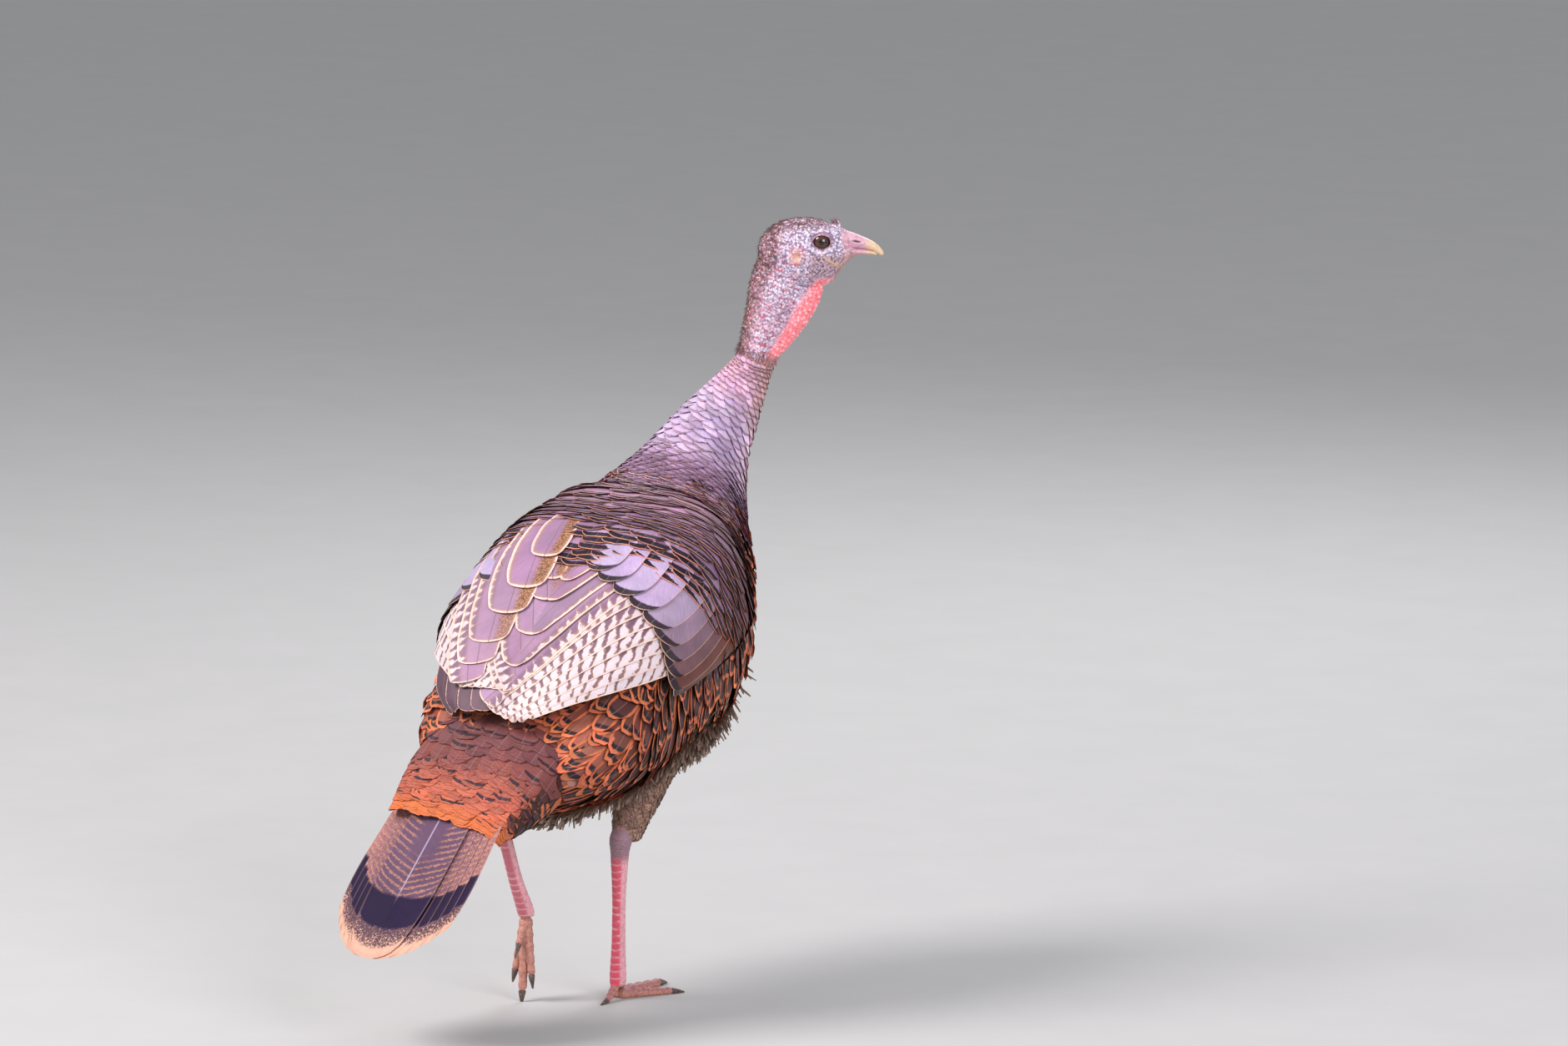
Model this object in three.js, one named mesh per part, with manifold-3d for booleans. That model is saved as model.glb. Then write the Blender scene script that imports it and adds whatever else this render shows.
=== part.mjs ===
// A wild turkey hen at life size, standing in mid-step on its right foot, with its neck up and its head turned to its right.
// Millimetres. +Y is the way the body faces, +X is the bird's right, +Z is up and the floor is at zero.
// Each named mesh is one part of the bird, and its surface is the outline of the plumage, out to the feather tips.
import * as THREE from "three";
import { mergeVertices } from "three/addons/utils/BufferGeometryUtils.js";
import Module from "manifold-3d";

const wasm = await Module();
wasm.setup();

// ---- Driving dimensions ----
const GAP = 0.3; // between parts that touch
const FAR = 2000; // longer than the bird
const HEAD_TURN = 57; // degrees, from the way the body faces to the way the bill points
const HEAD_CENTRE = [92, 244, 737];
const WING_LOWER_EDGE = 320; // height of the folded wing's lower edge
const WING_COVERTS_END = -50; // where the coverts end and the flight feathers show
const TAIL_ROOT = [-14, -154, 303];
const TAIL_DROOP = 49; // degrees below level
const TAIL_SWING = 9.5; // degrees to the left
const TAIL_LENGTH = 279;
const TAIL_PAIRS = 5; // visible pairs of tail feathers beside the middle one
const TAIL_FAN = 4.6; // degrees from the middle feather to the outermost
const TAIL_VANE = { width: 60, thick: 2.6, step: 1.7, apart: 5 };
const FLOOR_CENTRE = { x: -7, y: 24 }; // moves the middle of the bird's box over the origin

const COLOURS = {
  back: 0x6b5a57,
  neck: 0x8d7a80,
  bareSkin: 0xa08f9f,
  throat: 0xc9484a,
  bill: 0xcdb28f,
  eye: 0x23150f,
  covert: 0x8c7c86,
  quill: 0xb8aaa4,
  primary: 0x7b6d70,
  rump: 0x96482a,
  tail: 0x7a4a34,
  thigh: 0x75604a,
  shank: 0xb5606a,
  claw: 0x4a3a36,
};

// ---- Solids from three.js geometry ----
function solidOf(geometry) {
  const plain = geometry.clone();
  plain.deleteAttribute("normal");
  plain.deleteAttribute("uv");
  const merged = mergeVertices(plain, 1e-4);
  return new wasm.Manifold(
    new wasm.Mesh({
      numProp: 3,
      vertProperties: merged.attributes.position.array,
      triVerts: new Uint32Array(merged.index.array),
    }),
  );
}

function geometryOf(solid) {
  const { numProp, vertProperties, triVerts } = solid.getMesh();
  const places = new Float32Array((vertProperties.length / numProp) * 3);
  for (let i = 0; i < places.length / 3; i++)
    for (let axis = 0; axis < 3; axis++)
      places[3 * i + axis] = vertProperties[numProp * i + axis];
  return new THREE.BufferGeometry()
    .setAttribute("position", new THREE.BufferAttribute(places, 3))
    .setIndex(new THREE.BufferAttribute(new Uint32Array(triVerts), 1));
}

// A box that fills the side of a plane that its normal points to.
function halfSpace(point, normal) {
  const box = new THREE.BoxGeometry(FAR, FAR, FAR).translate(0, 0, FAR / 2);
  const turn = new THREE.Quaternion().setFromUnitVectors(
    new THREE.Vector3(0, 0, 1),
    new THREE.Vector3(...normal).normalize(),
  );
  return solidOf(box.applyQuaternion(turn).translate(...point));
}

// Cuts a solid in two at a plane: [the piece before it, the piece past it], a gap apart.
function partAt(solid, point, normal) {
  const past = new THREE.Vector3(...normal).setLength(GAP / 2);
  const before = past.clone().negate();
  const at = new THREE.Vector3(...point);
  return [before, past].map((side) =>
    solid.intersect(halfSpace(at.clone().add(side).toArray(), side.toArray())),
  );
}

const signedPower = (value, power) =>
  Math.sign(value) * Math.abs(value) ** power;

// Where a loft's rings stand along it, from 0 to 1: even along its length, and drawing together in its domed ends.
function ringPlaces(rings, [startDome, endDome], shares) {
  const places = shares.map((share) => share * startDome);
  for (let i = 0; i <= rings; i++)
    places.push(startDome + ((1 - startDome - endDome) * i) / rings);
  places.push(...shares.map((share) => 1 - share * endDome).reverse());
  return places;
}

// A closed body through stations. Each has its centre, its reach across (to each side), above and below, how square
// its section is (2 is an ellipse), and how many degrees it faces to the bird's right. dome rounds the two ends off.
function loft(stations, { rings, sides, grow = 0, dome = [0.08, 0.08], shares = [0.12, 0.5] }) {
  const curve = (pick) =>
    new THREE.CatmullRomCurve3(
      stations.map((s) => new THREE.Vector3(...pick(s))),
      false,
      "catmullrom",
      0.5,
    );
  const path = curve((s) => s.at);
  const reach = curve((s) => [s.across, s.above, s.below ?? s.above]);
  const manner = curve((s) => [s.square ?? 2, s.turn ?? 0, 0]);
  const places = [];
  const index = [];
  for (const t of ringPlaces(rings, dome, shares)) {
    const fromStart = Math.max(0, 1 - t / dome[0]);
    const fromEnd = Math.max(0, 1 - (1 - t) / dome[1]);
    const fullness = Math.sqrt(1 - Math.max(fromStart, fromEnd) ** 2);
    const centre = path.getPoint(t);
    const along = path.getTangent(t);
    const [across, above, below] = reach
      .getPoint(t)
      .multiplyScalar(fullness)
      .addScalar(grow)
      .toArray();
    const { x: square, y: degrees } = manner.getPoint(t);
    const turn = THREE.MathUtils.degToRad(degrees);
    const right = new THREE.Vector3(Math.cos(turn), -Math.sin(turn), 0);
    right.addScaledVector(along, -right.dot(along)).normalize();
    const up = new THREE.Vector3().crossVectors(right, along);
    for (let j = 0; j < sides; j++) {
      const angle = (2 * Math.PI * j) / sides;
      const sideways = signedPower(Math.cos(angle), 2 / square) * across;
      const rise = signedPower(Math.sin(angle), 2 / square);
      const place = centre
        .clone()
        .addScaledVector(right, sideways)
        .addScaledVector(up, rise * (rise > 0 ? above : below));
      places.push(...place.toArray());
    }
  }
  const start = places.length / 3;
  const count = start / sides;
  const alongStart = path.getTangent(0).multiplyScalar(-grow);
  const alongEnd = path.getTangent(1).multiplyScalar(grow);
  places.push(...path.getPoint(0).add(alongStart).toArray());
  places.push(...path.getPoint(1).add(alongEnd).toArray());
  for (let j = 0; j < sides; j++) {
    const next = (j + 1) % sides;
    for (let i = 0; i < count - 1; i++) {
      const [a, b] = [i * sides + j, i * sides + next];
      index.push(a, b + sides, b, a, a + sides, b + sides);
    }
    const last = (count - 1) * sides;
    index.push(start, j, next, start + 1, last + next, last + j);
  }
  const geometry = new THREE.BufferGeometry()
    .setAttribute("position", new THREE.Float32BufferAttribute(places, 3))
    .setIndex(index);
  const solid = solidOf(geometry);
  if (solid.volume() > 0) return solid;
  throw new Error("a loft is inside out");
}

// A closed tube along a list of points [x, y, z, radius].
function limb(points, { rings, sides, grow = 0, dome, turn = 0 }) {
  const stations = points.map(([x, y, z, radius]) => ({
    at: [x, y, z],
    across: radius,
    above: radius,
    turn,
  }));
  return loft(stations, { rings, sides, grow, dome, shares: [0.25] });
}

const turkey = new THREE.Group();
turkey.position.set(FLOOR_CENTRE.x, FLOOR_CENTRE.y, 0);
const aboveFloor = halfSpace([0, 0, 0], [0, 0, 1]);

function addPart(name, solid, colour, roughness = 0.75) {
  const material = new THREE.MeshStandardMaterial({
    color: COLOURS[colour],
    roughness,
    metalness: 0,
  });
  const mesh = new THREE.Mesh(geometryOf(solid), material);
  mesh.name = name;
  turkey.add(mesh);
}

// ---- Trunk and neck: one egg-shaped body that rises into the neck ----
const BODY = [
  { at: [0, -186, 234], across: 58, above: 23, below: 34 }, // vent
  { at: [0, -148, 260], across: 109, above: 36, below: 70 }, // tail root
  { at: [0, -104, 294], across: 132, above: 49, below: 106, square: 2.3 }, // rump
  { at: [0, -48, 340], across: 122, above: 66, below: 146, square: 2.4 }, // loins
  { at: [0, 8, 380], across: 120, above: 74, below: 176, square: 2.4 }, // back
  { at: [0, 62, 416], across: 118, above: 75, below: 184, square: 2.3 }, // shoulders
  { at: [0, 108, 454], across: 102, above: 62, below: 150, square: 2.2 }, // breast
  { at: [1, 144, 490], across: 76, above: 48, below: 106 }, // crop
  { at: [5, 170, 522], across: 54, above: 42, below: 74, turn: 10 },
  { at: [13, 190, 551], across: 40, above: 37, below: 53, turn: 20 }, // lower neck
  { at: [27, 210, 582], across: 30, above: 29, below: 36, turn: 35 },
  { at: [44, 224, 616], across: 20, above: 20, below: 21, turn: HEAD_TURN },
  { at: [53, 227, 645], across: 17.5, above: 21, below: 20, turn: HEAD_TURN }, // bare neck
  { at: [60, 229, 671], across: 17.5, above: 23, below: 22, turn: HEAD_TURN },
  { at: [66, 232, 696], across: 18, above: 26, below: 24, turn: HEAD_TURN },
  { at: [74, 237, 718], across: 18, above: 26, below: 24, turn: HEAD_TURN },
  { at: [80, 240, 738], across: 16, above: 18, below: 20, turn: HEAD_TURN }, // nape, inside the head
];
// The folded wings follow the same stations, from the vent to the crop.
const WING_REACH = [50, 72, 116, 144, 141, 133, 109, 78, 50];
const WING_RISE = [22, 22, 22, 13, 13, 11, 5, 1, 0]; // above the trunk
const WING_SQUARE = 3.1;
const BODY_SHAPE = { rings: 26, sides: 20, dome: [0.05, 0.04] };

// ---- Head: laid out as (forward, up) from its centre, along the way the bill points ----
const headTurn = THREE.MathUtils.degToRad(HEAD_TURN);
const headForward = new THREE.Vector3(Math.sin(headTurn), Math.cos(headTurn), 0);
const headRight = new THREE.Vector3(Math.cos(headTurn), -Math.sin(headTurn), 0);

function onHead(forward, up, side = 0) {
  return new THREE.Vector3(...HEAD_CENTRE)
    .addScaledVector(headForward, forward)
    .addScaledVector(headRight, side)
    .add(new THREE.Vector3(0, 0, up))
    .toArray();
}

// A station of the head or bill, from the heights of its top and bottom.
function headStation(forward, top, bottom, across, square = 2) {
  const middle = (top + bottom) / 2;
  const reach = (top - bottom) / 2;
  return { at: onHead(forward, middle), across, above: reach, square, turn: HEAD_TURN };
}

// A station of the skull, whose sections all stand upright on one level line through the gape.
const GAPE_LEVEL = -5;
function skullStation(forward, top, bottom, across, square = 2) {
  const below = GAPE_LEVEL - bottom;
  return { at: onHead(forward, GAPE_LEVEL), across, above: top - GAPE_LEVEL, below, square, turn: HEAD_TURN };
}

const SKULL = [
  skullStation(-46, 3, -14, 8),
  skullStation(-38, 14, -24, 13),
  skullStation(-22, 24.5, -34, 17.5, 2.2),
  skullStation(-2, 28, -40, 19.5, 2.3),
  skullStation(14, 26, -41, 18.5, 2.2),
  skullStation(28, 21, -35, 14.5, 2.1),
  skullStation(38, 18, -21, 10.5),
  skullStation(50, 12.5, -11, 8),
];
const UPPER_BILL = [
  headStation(40, 16, -2, 8.6),
  headStation(50, 12.5, -2, 8.4),
  headStation(61, 8, -3.2, 6.6),
  headStation(69, 3.6, -5, 4.6),
  headStation(75, -1.6, -8, 2.6),
  headStation(79, -8, -11, 1.2),
];
const LOWER_BILL = [
  headStation(30, -8, -20, 7.6),
  headStation(42, -4.5, -15, 7.6),
  headStation(54, -4, -11.5, 6.2),
  headStation(66, -6, -10.5, 4),
  headStation(73, -8.5, -10.8, 2),
];
const SNOOD = { forward: 34, up: 18, height: 12, radius: 4.4 };
const EYE = { forward: 17.2, up: 5.6, side: 11, radius: 8.6 };
// The throat flap hangs along the front of the bare neck, from the chin down.
const THROAT = [
  { at: onHead(14, -34), across: 5, above: 9, turn: HEAD_TURN },
  { at: onHead(4, -50), across: 7.5, above: 13, turn: HEAD_TURN },
  { at: onHead(-7, -68), across: 8.5, above: 14, turn: HEAD_TURN },
  { at: onHead(-19, -88), across: 8, above: 12, turn: HEAD_TURN },
  { at: onHead(-31, -107), across: 6, above: 8, turn: HEAD_TURN },
  { at: onHead(-38, -118), across: 4, above: 5, turn: HEAD_TURN },
];

// ---- Tail: a folded fan of vanes, the middle one on top ----
function tailFrame() {
  const droop = THREE.MathUtils.degToRad(TAIL_DROOP);
  const swing = THREE.MathUtils.degToRad(TAIL_SWING);
  return new THREE.Matrix4()
    .makeTranslation(...TAIL_ROOT)
    .multiply(new THREE.Matrix4().makeRotationZ(-swing))
    .multiply(new THREE.Matrix4().makeRotationX(droop));
}

// One tail feather: a vane that widens to a round end, pointing along -Y from the root.
function tailVane(length) {
  const half = TAIL_VANE.width / 2;
  const shape = new THREE.Shape();
  shape.moveTo(-half * 0.35, 0);
  shape.lineTo(-half, -length * 0.55);
  shape.lineTo(-half, -length + half * 0.8);
  shape.quadraticCurveTo(-half * 0.95, -length, 0, -length);
  shape.quadraticCurveTo(half * 0.95, -length, half, -length + half * 0.8);
  shape.lineTo(half, -length * 0.55);
  shape.lineTo(half * 0.35, 0);
  return new THREE.ExtrudeGeometry(shape, {
    depth: TAIL_VANE.thick,
    bevelEnabled: false,
    curveSegments: 3,
  });
}

function makeTail() {
  let fan = null;
  for (let place = -TAIL_PAIRS; place <= TAIL_PAIRS; place++) {
    const outward = Math.abs(place) / TAIL_PAIRS;
    const length = TAIL_LENGTH * (1 - 0.12 * outward ** 2);
    const vane = tailVane(length)
      .translate(TAIL_VANE.apart * place, 0, -TAIL_VANE.step * Math.abs(place) - TAIL_VANE.thick)
      .applyMatrix4(
        new THREE.Matrix4().makeRotationZ(
          THREE.MathUtils.degToRad((TAIL_FAN * place) / TAIL_PAIRS),
        ),
      );
    const solid = solidOf(vane.applyMatrix4(tailFrame()));
    fan = fan ? fan.add(solid) : solid;
  }
  return fan;
}

const onTail = (side, back, up) =>
  new THREE.Vector3(side, -back, up).applyMatrix4(tailFrame()).toArray();
// Upper and under tail coverts, one wedge round the tail's root.
const TAIL_COVERTS = [
  { at: onTail(4, -14, -36), across: 78, above: 38, below: 52, square: 2.4 },
  { at: onTail(4, 24, -26), across: 88, above: 30, below: 54, square: 2.6 },
  { at: onTail(3, 64, -16), across: 83, above: 22, below: 48, square: 2.8 },
  { at: onTail(2, 104, -9), across: 75, above: 14, below: 32, square: 2.8 },
  { at: onTail(0, 138, -4), across: 66, above: 7, below: 10, square: 2.8 },
].map((s) => ({ ...s, turn: 180 }));

// ---- Legs ----
const RIGHT_LEG = {
  thigh: [
    [60, 50, 300, 44],
    [52, 21, 240, 30],
    [46, 10, 206, 23],
    [42, 2, 183, 18.5],
    [40, -3, 162, 13],
  ],
  shank: [
    [40, -6, 177, 9],
    [40, -12, 165, 11.5],
    [38.5, -12, 148, 9.2],
    [35.5, -9, 108, 6.8],
    [32, -5, 60, 6.8],
    [28.5, -1, 24, 8.2],
    [28, 0, 13, 8],
  ],
  foot: [28, 0, 13],
};
const LEFT_LEG = {
  thigh: [
    [-56, -14, 262, 42],
    [-50, -58, 240, 34],
    [-44, -92, 224, 25],
    [-40, -112, 214, 17.5],
    [-39, -119, 206, 14],
  ],
  shank: [
    [-38, -117, 230, 9],
    [-38, -122, 219, 11.5],
    [-39, -115, 204, 9.2],
    [-40, -99, 172, 6.8],
    [-42, -78, 126, 6.8],
    [-43.5, -60, 94, 8.2],
    [-44, -57, 85, 8],
  ],
  foot: [-44, -57, 85],
};
const TOES = [
  { name: "inner", angle: -34, length: 56, radius: 6.2 },
  { name: "middle", angle: 0, length: 76, radius: 6.8 },
  { name: "outer", angle: 34, length: 60, radius: 6 },
];
const HIND_TOE = { angle: 172, length: 27, radius: 4.8, rise: 13 };
const CLAW_LENGTH = 15;
const TOE_PRESS = 0.76; // height of a standing toe's middle, in its own radii


// A toe with round pads, and its claw, from the foot outward. place(distance, radius) is where each pad's middle is.
function toeAndClaw(place, length, radius) {
  const pads = [0, 0.2, 0.4, 0.6, 0.8, 1].map((share, i) => {
    const pad = radius * (1 - 0.42 * share) * (i % 2 ? 1.06 : 0.9);
    return [...place(length * share, pad), pad];
  });
  const claw = [0, 0.35, 0.7, 1].map((share) => {
    const thickness = radius * 0.6 * (1 - 0.8 * share);
    return [...place(length - 3 + CLAW_LENGTH * share, thickness), thickness];
  });
  const shape = { rings: 5, sides: 6, dome: [0.06, 0.08] };
  const clawShape = { rings: 2, sides: 5, dome: [0.15, 0.05] };
  return {
    toe: limb(pads, shape).subtract(limb(claw, { ...clawShape, grow: GAP })),
    claw: limb(claw, clawShape),
  };
}

// ---- Assembly ----
function makeHead(body) {
  const [throatCut, neckUp] = [onHead(-38, -26), [0.34, 0.22, 1]];
  const skull = loft(SKULL, { rings: 10, sides: 14, dome: [0.08, 0.08] });
  const eyeBalls = [1, -1].map((side) =>
    solidOf(
      new THREE.SphereGeometry(EYE.radius, 11, 7).translate(
        ...onHead(EYE.forward, EYE.up, EYE.side * side),
      ),
    ),
  );
  const sockets = [1, -1].map((side) =>
    solidOf(
      new THREE.SphereGeometry(EYE.radius + GAP, 11, 7).translate(
        ...onHead(EYE.forward, EYE.up, EYE.side * side),
      ),
    ),
  );
  const upperBill = { rings: 10, sides: 12, dome: [0.12, 0.05] };
  const lowerBill = { rings: 6, sides: 12, dome: [0.12, 0.08] };
  const lowerGrown = loft(LOWER_BILL, { ...lowerBill, grow: GAP });
  const upperGrown = loft(UPPER_BILL, { ...upperBill, grow: GAP });
  const bill = loft(UPPER_BILL, upperBill).subtract(lowerGrown);
  const snoodRoot = [...onHead(SNOOD.forward - 2, SNOOD.up - 3), SNOOD.radius];
  const snoodTip = [...onHead(SNOOD.forward - 2, SNOOD.up + SNOOD.height), SNOOD.radius * 0.4];
  const snoodShape = { rings: 3, sides: 8, dome: [0.2, 0.3], turn: HEAD_TURN };
  const snoodGrown = limb([snoodRoot, snoodTip], { ...snoodShape, grow: GAP });
  const whole = body.add(skull);
  const [neckBelow, headAbove] = partAt(whole, throatCut, neckUp);
  let head = headAbove;
  for (const cutter of [...sockets, lowerGrown, upperGrown, snoodGrown]) head = head.subtract(cutter);
  addPart("head", head, "bareSkin");
  addPart("eye_right", eyeBalls[0], "eye", 0.1);
  addPart("eye_left", eyeBalls[1], "eye", 0.1);
  addPart("bill_upper", bill, "bill", 0.45);
  addPart("bill_lower", loft(LOWER_BILL, lowerBill), "bill", 0.45);
  addPart("snood", limb([snoodRoot, snoodTip], snoodShape), "bareSkin");
  return { neckBelow, skull: whole.subtract(neckBelow) };
}

function makeNeckAndTrunk(neckAndTrunk) {
  const throatShape = { rings: 8, sides: 12, dome: [0.1, 0.1] };
  const grownHead = loft(SKULL, { rings: 10, sides: 14, grow: GAP, dome: [0.08, 0.08] });
  const body = loft(BODY, { ...BODY_SHAPE, grow: GAP });
  const flap = loft(THROAT, throatShape).subtract(body).subtract(grownHead);
  addPart("throat_flap", largest(flap), "throat");
  const [below, bareNeck] = partAt(neckAndTrunk, [44, 224, 616], [0.35, 0.25, 1]);
  const [trunk, lowerNeck] = partAt(below, [5, 168, 520], [0.1, 0.75, 1]);
  addPart("neck_bare", bareNeck, "bareSkin");
  addPart("neck_feathered", lowerNeck, "neck");
  return trunk;
}

// The biggest of the separate pieces that a cut leaves.
function largest(solid) {
  const pieces = solid.decompose();
  return pieces.reduce((best, piece) => (piece.volume() > best.volume() ? piece : best));
}

// The folded wing's outline from the side, as (forward, up).
function wingOutline() {
  const shape = new THREE.Shape();
  shape.moveTo(-230, 560);
  shape.lineTo(-230, 308);
  shape.lineTo(-176, 308);
  shape.lineTo(-120, WING_LOWER_EDGE);
  shape.lineTo(-40, WING_LOWER_EDGE + 9);
  shape.quadraticCurveTo(70, WING_LOWER_EDGE + 24, 104, 376);
  shape.quadraticCurveTo(124, 400, 104, 446);
  shape.lineTo(60, 560);
  return shape;
}

function makeWing(side, trunkGrown) {
  const coat = WING_REACH.map((across, i) => ({
    ...BODY[i],
    across,
    above: BODY[i].above + WING_RISE[i],
    square: WING_SQUARE,
  }));
  const envelope = loft(coat, { rings: 14, sides: 26, dome: [0.06, 0.05] });
  const outline = new THREE.ExtrudeGeometry(wingOutline(), {
    depth: 260,
    bevelEnabled: false,
    curveSegments: 6,
  })
    .applyMatrix4(
      new THREE.Matrix4().makeBasis(
        new THREE.Vector3(0, 1, 0),
        new THREE.Vector3(0, 0, 1),
        new THREE.Vector3(1, 0, 0),
      ),
    )
    .translate(side > 0 ? GAP : -260 - GAP, 0, 0);
  const shell = largest(envelope.intersect(solidOf(outline)).subtract(trunkGrown.add(covertsGrown)));
  const [flight, coverts] = partAt(shell, [0, WING_COVERTS_END, 0], [0, 1, 0]);
  const [secondaries, primaries] = partAt(flight, [0, -122, 334], [0, -0.75, -0.66]);
  const word = side > 0 ? "right" : "left";
  addPart("wing_coverts_" + word, largest(coverts), "covert");
  addPart("wing_secondaries_" + word, largest(secondaries), "quill");
  addPart("wing_primaries_" + word, largest(primaries), "primary");
}

function makeLeg(word, leg, toePlace, trunkGrown) {
  const upper = limb(leg.thigh, { rings: 6, sides: 11, dome: [0.2, 0.08] }).subtract(trunkGrown);
  const shankShape = { rings: 9, sides: 9, dome: [0.05, 0.05] };
  const shankGrown = limb(leg.shank, { ...shankShape, grow: GAP });
  addPart("thigh_" + word, largest(upper.subtract(shankGrown)), "thigh");
  const toes = TOES.map(({ name, angle, length, radius }) => ({
    name,
    ...toeAndClaw(toePlace(angle, 0, name), length, radius),
  }));
  const { angle, length, radius, rise } = HIND_TOE;
  toes.push({ name: "hind", ...toeAndClaw(toePlace(angle, rise, "hind"), length, radius) });
  let taken = shankGrown;
  addPart("shank_" + word, limb(leg.shank, shankShape), "shank");
  for (const { name, toe, claw } of toes) {
    const clear = largest(toe.subtract(taken).intersect(aboveFloor));
    addPart(`toe_${name}_${word}`, clear, "shank");
    addPart(`claw_${name}_${word}`, largest(claw.intersect(aboveFloor)), "claw", 0.4);
    taken = taken.add(toe);
  }
  return shankGrown;
}

const wholeBody = loft(BODY, BODY_SHAPE);
const trunkGrown = loft(BODY, { ...BODY_SHAPE, grow: GAP });
const { neckBelow } = makeHead(wholeBody);
let trunk = makeNeckAndTrunk(neckBelow);
const coverts = loft(TAIL_COVERTS, { rings: 8, sides: 16, dome: [0.1, 0.1] });
const covertsGrown = loft(TAIL_COVERTS, { rings: 8, sides: 16, dome: [0.1, 0.1], grow: GAP });
[1, -1].forEach((side) => makeWing(side, trunkGrown));

const tail = makeTail().subtract(trunkGrown);
addPart("tail_feathers", largest(tail.subtract(covertsGrown)), "tail");
addPart("tail_coverts", largest(coverts.subtract(trunkGrown)), "rump");

// The standing foot's toes lie along the floor, each pad pressed a little flat.
function standingToe(angle, rise) {
  const turn = THREE.MathUtils.degToRad(angle);
  const [x, y] = RIGHT_LEG.foot;
  return (distance, radius) => [
    x + Math.sin(turn) * distance,
    y + Math.cos(turn) * distance,
    radius * TOE_PRESS + rise * Math.max(0, 1 - distance / 24),
  ];
}

// The swinging foot's toes hang, and the middle claw just rests on the floor.
function hangingToe(angle, rise, name) {
  const [x, y, z] = LEFT_LEG.foot;
  const spread = THREE.MathUtils.degToRad(name === "hind" ? 0 : angle * 0.3);
  const slope = name === "hind" ? -0.5 : -0.1;
  return (distance) => [
    x + Math.sin(spread) * distance,
    y + slope * distance,
    z - distance * Math.cos(spread),
  ];
}

trunk = trunk.subtract(makeLeg("right", RIGHT_LEG, standingToe, trunkGrown));
trunk = trunk.subtract(makeLeg("left", LEFT_LEG, hangingToe, trunkGrown));
addPart("trunk", largest(trunk), "back");

export default turkey;
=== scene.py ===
import math

import bmesh
import bpy
import numpy as np
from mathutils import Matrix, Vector, noise
from mathutils.bvhtree import BVHTree


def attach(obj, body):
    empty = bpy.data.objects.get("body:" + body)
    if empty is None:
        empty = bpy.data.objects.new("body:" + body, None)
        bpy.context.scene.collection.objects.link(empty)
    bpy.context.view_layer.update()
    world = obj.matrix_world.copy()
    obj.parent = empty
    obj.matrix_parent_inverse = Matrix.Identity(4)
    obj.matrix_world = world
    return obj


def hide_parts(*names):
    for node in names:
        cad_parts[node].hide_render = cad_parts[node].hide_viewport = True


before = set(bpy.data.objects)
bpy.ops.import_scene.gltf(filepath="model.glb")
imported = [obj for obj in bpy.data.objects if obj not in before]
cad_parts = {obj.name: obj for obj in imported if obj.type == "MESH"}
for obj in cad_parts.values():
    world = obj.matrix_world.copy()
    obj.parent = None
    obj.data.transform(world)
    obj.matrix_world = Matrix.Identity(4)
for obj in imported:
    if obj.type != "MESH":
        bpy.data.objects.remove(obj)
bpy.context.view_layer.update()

# ---- The line of the body ----
# A turkey hen at life size. One line runs from the vent to the nape through the middle of trunk and neck,
# and every section of flesh or plumage stands square to it. Places here are in millimetres from the bird's
# own middle, with +Y the way it faces and +X its right.
MM = 0.001
BIRD_PLACE = np.array([-7.0, 24.0, 0.0])
NECK_TOP = 0.6875  # where the feathered neck ends, as a share of the body line
BODY_LINE = np.array([
    # x, y, z, across, above, below, squareness, degrees turned to the right
    [0, -186, 234, 58, 23, 34, 2, 0],
    [0, -148, 260, 109, 36, 70, 2, 0],
    [0, -104, 294, 132, 49, 106, 2.3, 0],
    [0, -48, 340, 122, 66, 146, 2.4, 0],
    [0, 8, 380, 120, 74, 176, 2.4, 0],
    [0, 62, 416, 118, 75, 184, 2.3, 0],
    [0, 108, 454, 102, 62, 150, 2.2, 0],
    [1, 144, 490, 76, 48, 106, 2, 0],
    [5, 170, 522, 54, 42, 74, 2, 10],
    [13, 190, 551, 40, 37, 53, 2, 20],
    [27, 210, 582, 30, 29, 36, 2, 35],
    [44, 224, 616, 20, 20, 21, 2, 57],
    [53, 227, 645, 17.5, 21, 20, 2, 57],
    [60, 229, 671, 17.5, 23, 22, 2, 57],
    [66, 232, 696, 18, 26, 24, 2, 57],
    [74, 237, 718, 18, 26, 24, 2, 57],
    [80, 240, 738, 16, 18, 20, 2, 57],
], float)


def along_stations(stations, t):
    """Rows of stations, read smoothly at places from 0 to 1 along them."""
    last = len(stations) - 1
    place = np.clip(t, 0, 1) * last
    i = np.minimum(place.astype(int), last - 1)
    w = (place - i)[:, None]
    ends = np.vstack([2 * stations[0] - stations[1], stations, 2 * stations[-1] - stations[-2]])
    a, b, c, d = ends[i], ends[i + 1], ends[i + 2], ends[i + 3]
    m0, m1 = 0.5 * (c - a), 0.5 * (d - b)
    return (2 * b - 2 * c + m0 + m1) * w**3 + (3 * c - 3 * b - 2 * m0 - m1) * w**2 + m0 * w + b


def unit(v):
    return v / np.maximum(np.linalg.norm(v, axis=-1, keepdims=True), 1e-9)


def section_axes(stations, t):
    """Middle, direction, right and up of the sections at t."""
    step = 1e-3
    here = along_stations(stations, t)
    ahead = along_stations(stations, np.minimum(t + step, 1))[:, :3]
    behind = along_stations(stations, np.maximum(t - step, 0))[:, :3]
    along = unit(ahead - behind)
    turn = np.radians(here[:, 7])
    right = np.stack([np.cos(turn), -np.sin(turn), 0 * turn], 1)
    right = unit(right - along * (right * along).sum(1)[:, None])
    return here, along, right, np.cross(right, along)


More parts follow.
